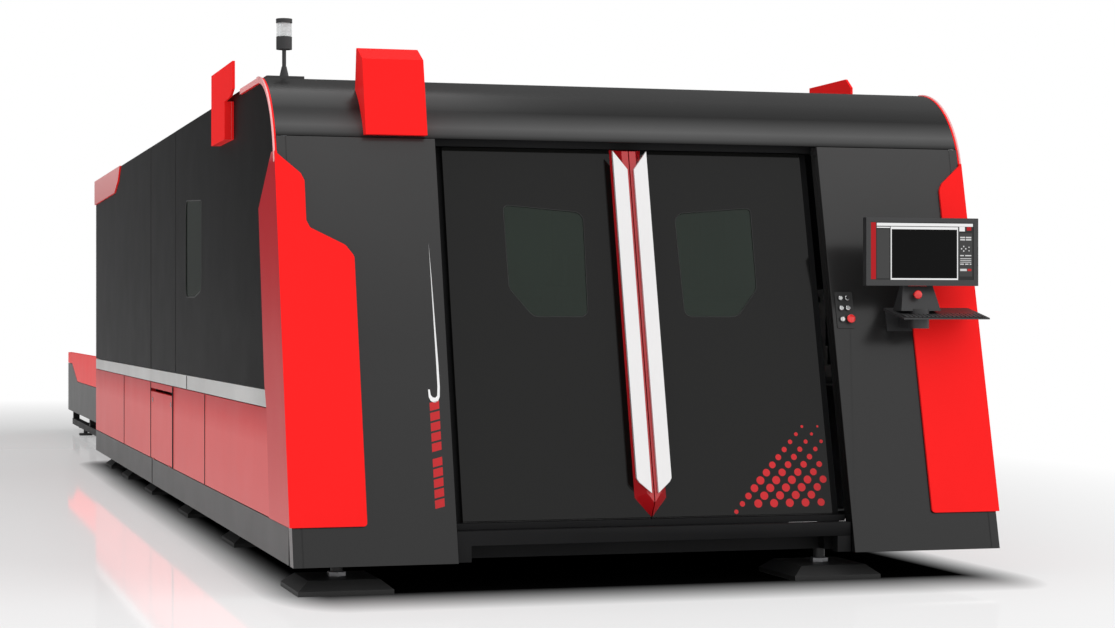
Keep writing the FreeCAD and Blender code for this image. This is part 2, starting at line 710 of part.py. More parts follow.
def makeCrossRails():
    """Two rails and the drive's magnet track along the beam's front."""
    face = gantryY - beamDepth / 2
    rails = [box(-1290, 1290, face - crossRailDepth, face, z - crossRailWidth / 2, z + crossRailWidth / 2)
             for z in crossRailZ]
    return rails + [box(-1290, 1290, face - 12, face, 1110, 1170)]


def makeCarriage():
    """Carriage plate with four rail blocks, side cheeks, the vertical rails and the lift motor."""
    face = gantryY - beamDepth / 2
    plateY = face - crossRailDepth - 22
    parts = [box(-carriageHalf, carriageHalf, plateY - 20, plateY, 1000, 1290)]
    half = crossRailWidth / 2 + running
    for x in (-120, 50):
        for z in crossRailZ:
            block = box(x, x + 70, plateY, face - 6, z - 32, z + 32)
            slot = box(x - 1, x + 71, face - crossRailDepth - running, face, z - half, z + half)
            parts.append(block.cut(slot))
    forcer = box(-110, 110, plateY, face - 14, 1115, 1165)
    parts.append(forcer)
    for x in (-65, 65):
        parts.append(box(x - 10, x + 10, plateY - 34, plateY - 20, 1000, 1290))
    parts.append(box(-45, 45, plateY - 80, plateY, 1290, 1306))
    parts.append(box(-40, 40, plateY - 78, plateY - 6, 1306, 1440))
    return [fused(parts)]


def makeSlide():
    """Vertical slide plate with channels over the carriage's two rails."""
    plateY = gantryY - beamDepth / 2 - crossRailDepth - 22
    back = plateY - 20 - running
    plate = box(-92, 92, back - 30, back, 965, 1255)
    for x in (-65, 65):
        plate = plate.cut(box(x - 10 - running, x + 10 + running, back - 14, back + 1, 964, 1256))
    return plate


def makeHead():
    """Cutting head: clamp block, optics body, focus collar and the pointed nozzle."""
    back = gantryY - beamDepth / 2 - crossRailDepth - 22 - 20 - running - 30
    y = back - 60
    block = box(-50, 50, back - 40, back, 1000, 1180)
    body = Part.makeCylinder(48, 260, Vector(0, y, 960))
    neck = Part.makeCone(30, 44, 45, Vector(0, y, 915))
    collar = Part.makeCylinder(30, 45, Vector(0, y, 870))
    nozzle = Part.makeCone(4, 14, 35, Vector(0, y, headTip))
    inlet = Part.makeCylinder(20, 60, Vector(0, y, 1220))
    return fused([block, body, neck, collar, nozzle, inlet])


# ---- pallets and exchange table ------------------------------------------------------------
def makePalletFrame(y, z):
    """Welded pallet: side rails, end rails and low cross rails that carry the slats."""
    x0, x1 = palletHalf - palletRail, palletHalf
    parts = pair(squareTube(x0, x1, y, y + palletLength, z, z + palletRailHeight, 4, "y"))
    for end in (y, y + palletLength - palletRail):
        parts.append(squareTube(-x0, x0, end, end + palletRail, z, z + palletRailHeight, 4, "x"))
    for i in range(1, 6):
        middle = y + palletLength * i / 6
        parts.append(squareTube(-x0, x0, middle - 20, middle + 20, z, z + 40, 3, "x"))
    return parts


def makeSlats(y, z):
    """Slats across the pallet, standing on edge."""
    top = z + slatTop - palletBottom
    first = y + palletRail + 40
    count = int((palletLength - 2 * palletRail - 60) / slatPitch)
    half = palletHalf - palletRail - 3
    return [box(-half, half, first + i * slatPitch, first + i * slatPitch + slatThickness,
                top - slatHeight, top) for i in range(count)]


def makeTracks():
    """Angles on the bed's cross beams that the pallet glides on."""
    x0, x1 = palletHalf - 50, palletHalf - 50 + trackWidth
    y0, y1 = palletStart - 60, cabinLength - rearHeight - 60
    high = palletBottom - 1
    flat = box(x0, x1, y0, y1, high - trackThickness, high)
    web = box(x1 - trackThickness, x1, y0, y1, bedBottom + bedCrossHeight, high - trackThickness)
    return pair(fused([flat, web]))


def makeLift():
    """Two-level lift: side beams, the upper and lower tracks and the cross tubes."""
    y0, y1 = cabinLength + tableFront, tableRear - 12
    x0 = palletHalf - 50
    x1 = x0 + trackWidth
    parts = []
    for level in (0, levelRise):
        top = palletBottom - 1 + level
        parts += pair(box(x0, x1, y0, y1, top - trackThickness, top))
    low, high = palletBottom - 60, palletBottom + levelRise - 1
    parts += pair(squareTube(x1, x1 + liftBeam, y0, y1, low, high, 4, "y"))
    for i in range(5):
        middle = y0 + 200 + (y1 - y0 - 400) * i / 4
        parts.append(squareTube(-x1, x1, middle - 30, middle + 30, palletBottom - 80,
                                palletBottom - 1 - trackThickness, 4, "x"))
    return parts


def makeTableFrame():
    """Fixed frame of the exchange table: floor rails, cross members, guide posts and top rails."""
    x0, x1 = tableHalf - tableCoverDepth - 62, tableHalf - tableCoverDepth - 2
    y0, y1 = cabinLength + tableFront, tableRear
    parts = pair(squareTube(x0, x1, y0, y1, floorRailBottom, floorRailTop, 5, "y"))
    parts += pair(squareTube(x0, x1, y0, y1, topRailBottom, topRailTop, 4, "y"))
    for i in range(tablePosts):
        middle = y0 + 120 + (y1 - y0 - 240) * i / (tablePosts - 1)
        parts += pair(squareTube(x0, x1, middle - 40, middle + 40, floorRailTop, topRailBottom, 5, "z"))
        parts.append(squareTube(-x0, x0, middle - 30, middle + 30, tableFootHeight, 74, 4, "x"))
    return parts


def makeTableCovers():
    """Red upper covers along the exchange table, cut away below at the far end."""
    y0, y1, low, high = cabinLength + tableFront, tableRear, tableCoverBottom, coverLowEdge
    outline = [(y0, low), (y1 - cutAwayStart, low), (y1 - cutAwayEnd, high), (y1, high), (y1, tableTop),
               (y0, tableTop)]
    return pair(pan(sideWire(tableHalf, outline), Vector(-tableCoverDepth, 0, 0)))


def makeTableSkirts():
    """Grey lower panels of the exchange table, which fill the cut-away at the far end."""
    y0, y1, low, high = cabinLength + tableFront, tableRear, tableCoverBottom - seam, coverLowEdge - seam
    outline = [(y0, tableSkirtBottom), (y1, tableSkirtBottom), (y1, high), (y1 - cutAwayEnd + seam / 2, high),
               (y1 - cutAwayStart + seam / 2, low), (y0, low)]
    return pair(pan(sideWire(tableHalf, outline), Vector(-tableCoverDepth, 0, 0)))


def makePad(x, y, width, length, top):
    """Tapered floor pad with its levelling stud."""
    def loop(grow, z):
        a, b = width / 2 - grow, length / 2 - grow
        corners = [Vector(x + i * a, y + j * b, z) for i, j in ((-1, -1), (1, -1), (1, 1), (-1, 1))]
        return Part.makePolygon(corners + [corners[0]])
    foot = box(x - width / 2, x + width / 2, y - length / 2, y + length / 2, 0, padHeight / 3)
    taper = Part.makeLoft([loop(0, padHeight / 3), loop(padTaper, padHeight)], True, True)
    stud = Part.makeCylinder(studRadius, top - padHeight, Vector(x, y, padHeight))
    return fused([foot, taper, stud])


def makePads():
    """Pads under the cabin's front corners, the bed beams and the exchange table."""
    pads = [makePad(x, frontPadY, padWidth, padLength, skirtBottom) for x in frontPads]
    for y in padPlaces:
        pads += pair(makePad(padX, y, padWidth, padLength, bedBottom if y < bedEnd else skirtBottom))
    x, half = tableHalf - tableCoverDepth - 32, tableFoot / 2
    for y in tablePadPlaces:
        foot = box(x - half, x + half, y - half, y + half, 0, tableFootHeight)
        stud = Part.makeCylinder(tableStud, floorRailBottom - tableFootHeight, Vector(x, y, tableFootHeight))
        pads += pair(fused([foot, stud]))
    return pads


# ---- console and buttons -------------------------------------------------------------------
def onFront(shape, x, z):
    """A shape drawn about +Z on the origin, put on the leaning front so that +Z points outwards."""
    placed = shape.rotated(Vector(0, 0, 0), Vector(1, 0, 0), 90 - faceLean)
    return placed.translated(Vector(x, faceY(z), z))


def leanCylinder(radius, start, end, place):
    """Cylinder square to the front, between two distances out from it (negative is inside)."""
    return onFront(Part.makeCylinder(radius, end - start, Vector(0, 0, start)), *place)


buttonPlaces = [(panelX + i * buttonPitchX / 2, panelZ + j * buttonPitchZ) for j in (1, 0) for i in (-1, 1)]
selectorPlace = (panelX - buttonPitchX / 2, panelZ - 50)
stopPlace = (panelX + buttonPitchX / 2 + 6, panelZ - 50)
controlPlaces = buttonPlaces + [selectorPlace, stopPlace]


def makeButtonPlate():
    """Plate with a collar round each control and a hole through both."""
    outline = rectangle(panelX - 40, panelX + 44, panelZ - 88, panelZ + 74)
    plate = frontPrism(outline, -4, -hairline, [8] * 4)
    for place in controlPlaces:
        plate = plate.fuse(leanCylinder(buttonRadius + 3, 2, collarTop, place))
    for place in controlPlaces:
        plate = plate.cut(leanCylinder(buttonRadius + running, -20, 30, place))
    return plate


def makeButton(place):
    """Button cap that stands out of its collar by a little less than its travel."""
    return leanCylinder(buttonRadius, 1, buttonTop, place)


def makeSelector():
    """Round dial with a raised lever across it."""
    reach = buttonRadius - 2
    lever = onFront(box(-3, 3, -reach, reach, buttonTop - 1, buttonTop + 8), *selectorPlace)
    return fused([leanCylinder(buttonRadius, 1, buttonTop, selectorPlace), lever])


def makeStop():
    """Mushroom button: stem and a wide head."""
    stem = leanCylinder(buttonRadius, 1, mushroomBottom + 1, stopPlace)
    head = leanCylinder(mushroomRadius, mushroomBottom, mushroomBottom + mushroomHeight, stopPlace)
    return fused([stem, head])


def makeConsoleArm():
    """Wall plate, arm and pivot boss."""
    plate = frontPrism(rectangle(armRight - 120, armRight, 1080, 1170), -8, -hairline)
    arm = box(armRight - 60, armRight, consoleY, faceY(1100, -6), 1095, 1150)
    low = 1092.0
    boss = Part.makeCylinder(pivotRadius, trayUnder - running - low, Vector(consoleX, consoleY, low))
    return fused([plate, arm, boss])


def makeConsoleTray():
    """Sloping keyboard tray with the stand that flares up to the monitor."""
    front, back = 12.0, 232.0
    x = consoleX
    side = [(front, 1132), (back, 1172), (back, 1184), (front, 1139)]
    wire = sideWire(x - 120, side)
    tray = prism(wire, Vector(412, 0, 0))
    hub = Part.makeCylinder(pivotRadius, 24, Vector(x, consoleY, trayUnder))
    cut = box(x - 60, x + 60, consoleY - 60, consoleY + 60, 1100, trayUnder)

    def loop(half, y0, y1, z):
        corners = [(x - half, y0), (x + half, y0), (x + half, y1), (x - half, y1), (x - half, y0)]
        return Part.makePolygon([Vector(a, b, z) for a, b in corners])
    neck = Part.makeLoft([loop(95, 96, 190, 1170), loop(72, 130, 164, 1280)], True, True)
    lugs = [box(x + s - 8, x + s + 8, 130, 160, 1270, tiltZ + 20) for s in (-64, 64)]
    hole = Part.makeCylinder(tiltPin + hairline, 200, Vector(x - 100, tiltY, tiltZ), Vector(1, 0, 0))
    stop = Vector(consoleStopX, 90, consoleStopZ)
    well = Part.makeCylinder(buttonRadius + running, 75, stop, Vector(0, 1, 0))
    return fused([tray.cut(cut), hub, neck] + lugs).cut(hole).cut(well)


def makeConsoleStop():
    """Red mushroom button in the stand, under the monitor."""
    along = Vector(0, 1, 0)
    stem = Part.makeCylinder(buttonRadius, 60, Vector(consoleStopX, 88, consoleStopZ), along)
    head = Part.makeCylinder(mushroomRadius, mushroomHeight, Vector(consoleStopX, 82, consoleStopZ), along)
    return fused([stem, head])


def makeMonitor():
    """Monitor with a rebated screen and a hinge block at its back."""
    x0, x1 = consoleX - monitorWidth / 2, consoleX + monitorWidth / 2
    z0, z1 = monitorZ - monitorHeight / 2, monitorZ + monitorHeight / 2
    case = box(x0, x1, monitorFront, monitorFront + monitorDepth, z0, z1)
    case = case.cut(box(x0 + 22, x1 - 22, monitorFront - 1, monitorFront + 3, z0 + 26, z1 - 20))
    block = box(consoleX - 55, consoleX + 55, monitorFront + monitorDepth, 150, 1296, 1326)
    pin = Part.makeCylinder(tiltPin, 144, Vector(consoleX - 72, tiltY, tiltZ), Vector(1, 0, 0))
    return fused([case, block, pin])


os.makedirs("parts", exist_ok=True)

column = makeColumns()
save("left_column", [mirrored(column)])
holes = [leanCylinder(buttonRadius + 1.5, -30, 30, place) for place in controlPlaces]
save("right_column", [column.cut(Part.Compound(holes))])
save("front_cover", [makeFrontCover()])
upper = makeUpperPanels()
save("left_upper_panels", [mirrored(p) for p in upper])
save("right_upper_panels", upper)
save("side_windows", pair(makeSideWindow()))
save("side_strips", [q for p in makeStrips() for q in pair(p)])
leftLower = [mirrored(p) for p in makeLowerPanels(True)] + [makeAccessLintel()]
save("lower_side_panels", makeLowerPanels(False) + leftLower)
save("access_door", [makeAccessDoor()])
save("lower_skirts", [q for p in makeSkirts() for q in pair(p)] + makeTableSkirts())
save("roof_panels", makeRoof())
save("rear_wall", makeRearWall())
save("rear_door", [makeRearDoor()])
save("cabin_frame", makeCabinFrame())
save("door_header", [makeHeader()])
save("front_sill", makeSill())
save("corner_covers", pair(makeCornerCover()) + pair(makeRearCornerPlate()))
save("badges", [makeFrontBadge(), mirrored(makeSideBadge(leftBadge)), makeSideBadge(rightBadge)])
save("lamp_post", [makeLampPost()])
save("lamp_lens", [makeLampLens()])

leafParts = {"panel": makeLeaf(), "window": makeLeafWindow(), "bar": makeBar(), "wedge": makeWedge()}
for name, shape in leafParts.items():
    save("right_door_" + name, [shape])
    save("left_door_" + name, [mirrored(shape)])

save("bed_frame", makeBed())
save("y_rails", makeRails())
save("y_racks", makeRacks())
save("gantry_beam", [makeBeam()])
save("gantry_trucks", [q for p in makeTruck() for q in pair(p)])
save("gantry_motors", pair(makeMotor()))
save("right_pinion", [makePinion()])
save("left_pinion", [mirrored(makePinion())])
save("cross_rails", makeCrossRails())
save("carriage", makeCarriage())
save("head_slide", [makeSlide()])
save("cutting_head", [makeHead()])

save("inner_pallet_frame", makePalletFrame(palletStart, palletBottom))
save("inner_pallet_slats", makeSlats(palletStart, palletBottom))
save("outer_pallet_frame", makePalletFrame(palletOutY, palletBottom + levelRise))
save("outer_pallet_slats", makeSlats(palletOutY, palletBottom + levelRise))
save("pallet_tracks", makeTracks())
save("lift_frame", makeLift())
save("table_frame", makeTableFrame())
save("table_covers", makeTableCovers())
save("floor_pads", makePads())

save("button_plate", [makeButtonPlate()])
for name, place in zip(["start_button", "hold_button", "light_button", "reset_button"], buttonPlaces):
    save(name, [makeButton(place)])
save("mode_selector", [makeSelector()])
save("stop_button", [makeStop()])
save("console_arm", [makeConsoleArm()])
save("console_tray", [makeConsoleTray()])
save("console_stop", [makeConsoleStop()])
save("monitor", [makeMonitor()])
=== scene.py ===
import json
import math

import bpy
import numpy as np
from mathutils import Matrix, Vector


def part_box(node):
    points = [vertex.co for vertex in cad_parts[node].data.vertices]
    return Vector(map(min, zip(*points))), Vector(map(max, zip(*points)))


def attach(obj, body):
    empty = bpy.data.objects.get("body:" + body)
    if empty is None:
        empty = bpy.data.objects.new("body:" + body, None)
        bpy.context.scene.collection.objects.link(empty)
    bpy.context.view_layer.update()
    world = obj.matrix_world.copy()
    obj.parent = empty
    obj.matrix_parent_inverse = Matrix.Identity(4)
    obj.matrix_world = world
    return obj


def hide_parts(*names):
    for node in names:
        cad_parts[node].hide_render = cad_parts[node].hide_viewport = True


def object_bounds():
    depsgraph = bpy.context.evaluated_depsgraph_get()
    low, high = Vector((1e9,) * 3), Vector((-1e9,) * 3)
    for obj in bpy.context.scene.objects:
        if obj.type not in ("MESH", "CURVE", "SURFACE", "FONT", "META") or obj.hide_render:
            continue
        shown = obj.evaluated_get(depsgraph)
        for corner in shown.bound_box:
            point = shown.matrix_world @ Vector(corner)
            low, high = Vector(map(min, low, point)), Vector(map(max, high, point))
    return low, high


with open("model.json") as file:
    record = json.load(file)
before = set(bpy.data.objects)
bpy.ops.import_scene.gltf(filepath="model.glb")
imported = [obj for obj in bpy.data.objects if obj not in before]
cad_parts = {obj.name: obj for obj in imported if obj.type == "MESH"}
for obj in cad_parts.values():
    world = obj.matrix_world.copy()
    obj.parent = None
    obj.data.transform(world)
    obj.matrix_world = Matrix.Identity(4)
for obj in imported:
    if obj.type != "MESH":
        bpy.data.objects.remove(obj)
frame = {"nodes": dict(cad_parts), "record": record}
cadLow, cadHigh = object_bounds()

# Looks of an enclosed laser cutting machine, in metres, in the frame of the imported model:
# +Z up, +Y from the doors to the exchange table, origin on the floor under the middle of its box.

cadNodes = frame["nodes"]


def nodeBox(name):
    low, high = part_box(name)
    return np.array(low), np.array(high)


def colour(red, green, blue):
    return (red, green, blue, 1.0)


def scaled(base, factor, plus=0.0):
    # each channel times the factor, plus a little, and no brighter than 1
    return colour(*[min(1.0, c * factor + plus) for c in base])


def fill(tree, node, inputs):
    # an input given as a socket is linked, a plain value is set
    for key, value in inputs.items():
        if hasattr(value, "links"):
            tree.links.new(value, node.inputs[key])
        else:
            node.inputs[key].default_value = value
    return node


def addNode(tree, kind, inputs, **settings):
    node = tree.nodes.new("ShaderNode" + kind)
    for name, value in settings.items():
        setattr(node, name, value)
    return fill(tree, node, inputs)


def startMaterial(name):
    material = bpy.data.materials.new(name)
    material.use_nodes = True
    tree = material.node_tree
    return material, tree, tree.nodes["Principled BSDF"]


def addNoise(tree, place, scale, detail=4.0, rough=0.55):
    noise = addNode(tree, "TexNoise", {"Vector": place, "Scale": scale, "Detail": detail,
                                       "Roughness": rough})
    return noise.outputs["Fac"]


def addRange(tree, value, low, high, fromLow=0.3, fromHigh=0.7):
    spread = addNode(tree, "MapRange", {"Value": value, "From Min": fromLow, "From Max": fromHigh,
                                        "To Min": low, "To Max": high})
    return spread.outputs["Result"]


def addMath(tree, operation, *values):
    return addNode(tree, "Math", dict(enumerate(values)), operation=operation).outputs["Value"]


def addVectorMath(tree, operation, *values):
    node = addNode(tree, "VectorMath", dict(enumerate(values)), operation=operation)
    return node.outputs["Value" if operation == "LENGTH" else "Vector"]


def addMix(tree, factor, first, second, blend="MIX"):
    # in a mix node the colours are inputs 6 and 7 and the mixed colour is output 2
    mix = addNode(tree, "Mix", {0: factor, 6: first, 7: second}, data_type="RGBA", blend_type=blend)
    return mix.outputs[2]


def addMixShader(tree, factor, first, second):
    return addNode(tree, "MixShader", {0: factor, 1: first, 2: second}).outputs["Shader"]


def addBump(tree, shader, height, strength, distance):
    bump = addNode(tree, "Bump", {"Height": height, "Strength": strength, "Distance": distance})
    fill(tree, shader, {"Normal": bump.outputs["Normal"]})


def addAxis(tree, place, axis):
    return addNode(tree, "SeparateXYZ", {"Vector": place}).outputs[axis]


def addRamp(tree, place, axis, stops):
    # colour that runs through (place, tint) stops along one axis
    first, last = stops[0][0], stops[-1][0]
    along = addRange(tree, addAxis(tree, place, axis), 0, 1, first, last)
    ramp = addNode(tree, "ValToRGB", {"Fac": along})
    knobs = ramp.color_ramp.elements
    for at, tint in stops:
        end = {first: 0, last: -1}.get(at)
        knob = knobs.new((at - first) / (last - first)) if end is None else knobs[end]
        knob.color = colour(*(tint if isinstance(tint, tuple) else [tint] * 3))
    return ramp.outputs["Color"]


def addPaintedSideShade(tree, place, tone, reach, stops):
    # painted shade and painted reflection: another tone, run through stops in height, on faces that lie at
    # +reach or -reach along X
    slack = 0.0004
    away = addMath(tree, "ABSOLUTE", addAxis(tree, place, "X"))
    paintedSideMask = addMath(tree, "COMPARE", away, reach, slack)
    return addMix(tree, paintedSideMask, tone, addRamp(tree, place, "Z", stops))


def objectPlace(tree, stretch=(1, 1, 1), shift=(0, 0, 0)):
    # object coordinates times the stretch, plus the shift
    place = addNode(tree, "TexCoord", {}).outputs["Object"]
    mapping = addNode(tree, "Mapping", {"Vector": place, "Scale": stretch, "Location": shift})
    return mapping.outputs["Vector"]


# (scale, detail) of each noise, and how deep the reliefs are
grain = {"clouds": (1.7, 3.0), "speckle": (900.0, 2.0), "gloss": (3.1, 5.0), "peelDetail": 2.0,
         "peelDeep": 0.0006, "stains": (5.0, 5.0), "moulding": (6.0, 3.0), "fineDeep": 0.0004,
         "streakDetail": 6.0, "streakRough": 0.6, "streakBump": 0.15,
         "film": 2.2, "smear": (7.0, 4.0), "dots": (1500.0, 1.0)}


def paint(name, base, rough, specular=0.5, coat=0.0, coatRough=0.05, metallic=0.0,
          peel=0.12, peelScale=260.0, cloud=0.06, fade=(), sides=()):
    # sprayed or powdered paint: slow tone clouds, fine speckle, orange peel and uneven gloss;
    # fade holds (axis, [(place, tint), ...]) pairs of painted shade and painted reflection along an axis,
    # and sides the reach and the stops of a tone of painted shade and reflection on the side faces
    material, tree, shader = startMaterial(name)
    place = objectPlace(tree)
    tone = addMix(tree, addRange(tree, addNoise(tree, place, *grain["clouds"]), 0, 1),
                  scaled(base, 1 - cloud * 2), scaled(base, 1 + cloud * 2, cloud * 0.004))
    tone = addMix(tree, addRange(tree, addNoise(tree, place, *grain["speckle"]), 0, 0.10, 0.5, 0.75), tone,
                  scaled(base, 1.6, 0.01))
    # painted shade and painted reflection multiplied into the tone along each fade axis
    for axis, stops in fade:
        tone = addMix(tree, 1.0, tone, addRamp(tree, place, axis, stops), "MULTIPLY")
    # painted shade and painted reflection on the side faces
    if sides:
        tone = addPaintedSideShade(tree, place, tone, *sides)
    gloss = addRange(tree, addNoise(tree, place, *grain["gloss"]), rough * 0.96, rough * 1.05)
    fill(tree, shader, {"Base Color": tone, "Roughness": gloss, "Specular IOR Level": specular,
                        "Metallic": metallic, "Coat Weight": coat, "Coat Roughness": coatRough})
    if peel:
        ripples = addNoise(tree, place, peelScale, grain["peelDetail"])
        addBump(tree, shader, ripples, peel, grain["peelDeep"])
    return material


def metal(name, base, rough, stretch=(1, 1, 1), scale=120.0, wear=0.15):
    # bare metal: brushed streaks along one axis and darker stains
    material, tree, shader = startMaterial(name)
    streaks = addNoise(tree, objectPlace(tree, stretch), scale, grain["streakDetail"], grain["streakRough"])
    stains = addNoise(tree, objectPlace(tree), *grain["stains"])
    tone = addMix(tree, addRange(tree, streaks, 0, 1), scaled(base, 0.78), scaled(base, 1.15))
    worn = addMix(tree, addRange(tree, stains, 0, wear, 0.45, 0.75), tone,
                  colour(base[0] * 0.45, base[1] * 0.42, base[2] * 0.38))
    gloss = addRange(tree, streaks, rough * 0.75, rough * 1.3)
    fill(tree, shader, {"Base Color": worn, "Roughness": gloss, "Metallic": 1.0})
    addBump(tree, shader, streaks, grain["streakBump"], grain["fineDeep"])
    return material


def plastic(name, base, rough, relief=0.1, reliefScale=700.0, coat=0.0):
    # moulded plastic: fine leather-like relief and a slow change of gloss
    material, tree, shader = startMaterial(name)
    place = objectPlace(tree)
    clouds = addNoise(tree, place, *grain["moulding"])
    tone = addMix(tree, addRange(tree, clouds, 0, 1), scaled(base, 0.85), scaled(base, 1.12))
    gloss = addRange(tree, clouds, rough * 0.85, rough * 1.2)
    fill(tree, shader, {"Base Color": tone, "Roughness": gloss, "Coat Weight": coat})
    pores = addNoise(tree, place, reliefScale, grain["peelDetail"])
    addBump(tree, shader, pores, relief, grain["fineDeep"])
    return material


def tintedGlass(name, base, rough, alpha):
    # filter pane: dark film, faint smears in the gloss, partly see-through
    material, tree, shader = startMaterial(name)
    smear = addNoise(tree, objectPlace(tree, (1, 1, 0.3)), *grain["smear"])
    film = addNoise(tree, objectPlace(tree), grain["film"])
    tone = addMix(tree, addRange(tree, film, 0, 1), scaled(base, 0.9), scaled(base, 1.15))
    gloss = addRange(tree, smear, rough * 0.6, rough * 1.8)
    fill(tree, shader, {"Base Color": tone, "Roughness": gloss, "Alpha": alpha,
                        "Specular IOR Level": 0.28})
    return material


def flatGlow(name, tone, strength):
    # lit area: faint fine dots over an even glow
    material, tree, shader = startMaterial(name)
    dots = addNoise(tree, objectPlace(tree), *grain["dots"])
    lit = addMix(tree, addRange(tree, dots, 0, 1), scaled(tone, 0.92), colour(*tone))
    fill(tree, shader, {"Emission Color": lit, "Emission Strength": strength,
                        "Base Color": scaled(tone, 0.1), "Roughness": 0.25, "Specular IOR Level": 0.08})
    return material


finishes = {
    # painted reflection: the columns darken towards the floor and brighten upwards, as a reflected sky
    # would
    "column_grey": lambda n: paint(n, (0.028, 0.0273, 0.0273), 0.22, 0.40, cloud=0.03, fade=[
        ("Z", [(0.1, 0.14), (1.05, 0.36), (1.9, 1.0)])]),
    # painted reflection and painted shade: light and dark bands across the curved cover, dark at the lip
    "cover_black": lambda n: paint(n, (0.085, 0.085, 0.085), 0.24, 0.18, cloud=0.03, fade=[
        ("Z", [(1.915, 0.08), (1.935, 0.6), (1.965, 1.0), (2.04, 0.10), (2.12, 0.25), (2.198, 0.2)])]),
    # painted reflection: the upper side panels darken towards the front and lighten towards the rear
    "panel_black": lambda n: paint(n, (0.034, 0.034, 0.035), 0.55, 0.05, cloud=0.02, fade=[
        ("Y", [(-7.4, 0.06), (-5.6, 0.30), (1.5, 1.0)])]),
    "window_glass": lambda n: tintedGlass(n, (0.007, 0.015, 0.009), 0.07, 0.85),
    "strip_silver": lambda n: paint(n, (0.50, 0.50, 0.49), 0.38, 0.5, metallic=0.3, peel=0.05),
    # painted reflection and painted shade: pale pink at the foot for the white floor reflected in the
    # panels, deep red at the top for the shade under the strip
    "panel_red": lambda n: paint(n, (0.74, 0.145, 0.145), 0.34, 0.03, cloud=0.01, fade=[
        ("Z", [(0.28, (1.0, 1.0, 1.0)), (0.58, (0.94, 0.70, 0.70)), (0.66, (0.82, 0.30, 0.32)),
               (0.75, (0.60, 0.04, 0.07))])]),
    "skirt_grey": lambda n: paint(n, (0.075, 0.075, 0.075), 0.45, 0.3, cloud=0.03),
    "door_grey": lambda n: paint(n, (0.13, 0.13, 0.13), 0.45),
    "frame_grey": lambda n: paint(n, (0.009, 0.009, 0.0095), 0.5, 0.12),
    # painted shade and painted reflection: the side faces are a darker red, pink near the foot and towards
    # the top
    "cover_red": lambda n: paint(n, (0.97, 0.016, 0.016), 0.34, 0.03, cloud=0.01, sides=(1.587, [
        (0.28, (0.68, 0.13, 0.13)), (0.80, (0.50, 0.030, 0.035)), (1.80, (0.42, 0.012, 0.020)),
        (1.92, (0.70, 0.26, 0.26)), (2.20, (0.80, 0.38, 0.38))])),
    "lamp_black": lambda n: plastic(n, (0.02, 0.02, 0.021), 0.4),
    "lamp_clear": lambda n: tintedGlass(n, (0.75, 0.77, 0.78), 0.05, 0.35),
    "bed_paint": lambda n: paint(n, (0.26, 0.27, 0.28), 0.5, peel=0.4, peelScale=120.0),
    "rail_steel": lambda n: metal(n, (0.62, 0.62, 0.63), 0.22, (1, 0.05, 1)),
    "gantry_paint": lambda n: paint(n, (0.62, 0.62, 0.61), 0.42, peel=0.2),
    "motor_black": lambda n: paint(n, (0.02, 0.02, 0.021), 0.4),
    "slide_aluminium": lambda n: metal(n, (0.72, 0.73, 0.75), 0.3, (1, 1, 0.05)),
    "head_metal": lambda n: metal(n, (0.35, 0.35, 0.37), 0.35, (1, 1, 0.08)),
    "pallet_paint": lambda n: paint(n, (0.12, 0.125, 0.13), 0.55, cloud=0.12),
    "slat_steel": lambda n: metal(n, (0.36, 0.34, 0.32), 0.5, (0.06, 1, 1), wear=0.6),
    "track_steel": lambda n: metal(n, (0.42, 0.42, 0.42), 0.4, (1, 0.05, 1), wear=0.5),
    "lift_paint": lambda n: paint(n, (0.10, 0.10, 0.105), 0.5, cloud=0.1),
    "pad_black": lambda n: paint(n, (0.017, 0.017, 0.017), 0.42, 0.4),
    "button_plate": lambda n: plastic(n, (0.014, 0.014, 0.014), 0.45),
    "button_chrome": lambda n: metal(n, (0.82, 0.82, 0.83), 0.12, (1, 1, 1), 300.0, wear=0.05),
    "selector_white": lambda n: plastic(n, (0.75, 0.75, 0.73), 0.25, coat=0.3),
    "stop_red": lambda n: plastic(n, (0.75, 0.012, 0.012), 0.25, 0.03, coat=0.4),
    "console_black": lambda n: plastic(n, (0.022, 0.022, 0.023), 0.42),
    "door_black": lambda n: paint(n, (0.0045, 0.0045, 0.0042), 0.07, 0.21, peel=0.02, cloud=0.02),
    "bar_silver": lambda n: paint(n, (0.74, 0.73, 0.73), 0.30, 0.5, metallic=0.4, peel=0.02, cloud=0.01),
    "wedge_red": lambda n: paint(n, (0.45, 0.006, 0.010), 0.25, 0.45, coat=0.5, coatRough=0.08, peel=0.04),
}

slotOf = {s["node"]: s["material_slot"] for s in frame["record"]["subparts"]}
madeFinishes = {}


def finish(slotName):
    if slotName not in madeFinishes:
        madeFinishes[slotName] = finishes[slotName](slotName)
    return madeFinishes[slotName]


for nodeName, node in cadNodes.items():
    node.data.materials.clear()
    node.data.materials.append(finish(slotOf[nodeName]))
print("finishes on", len(cadNodes), "nodes")


frontFoot = cadLow[1]                # y of the foot of the leaning front
faceLow = 0.12                       # height of that foot
faceLean = math.radians(13.9)
faceOut = np.array([0, -math.cos(faceLean), math.sin(faceLean)])
faceUp = np.array([0, math.sin(faceLean), math.cos(faceLean)])
sideways = np.array([1.0, 0, 0])
upward = np.array([0, 0, 1.0])
onAxis = 0.0001                      # radius that closes a turned shape on its axis


def onFace(x, z, off=0.0):
    # point of the leaning front at x and height z, set back by off along Y
    x, z = np.broadcast_arrays(np.asarray(x, float), np.asarray(z, float))
    return np.stack([x, frontFoot + off + (z - faceLow) * math.tan(faceLean), z], -1)


def behindFoot(x, back, z):
    return np.array([x, frontFoot + back, z])


def asList(faces):
    return faces if isinstance(faces, list) else faces.tolist()


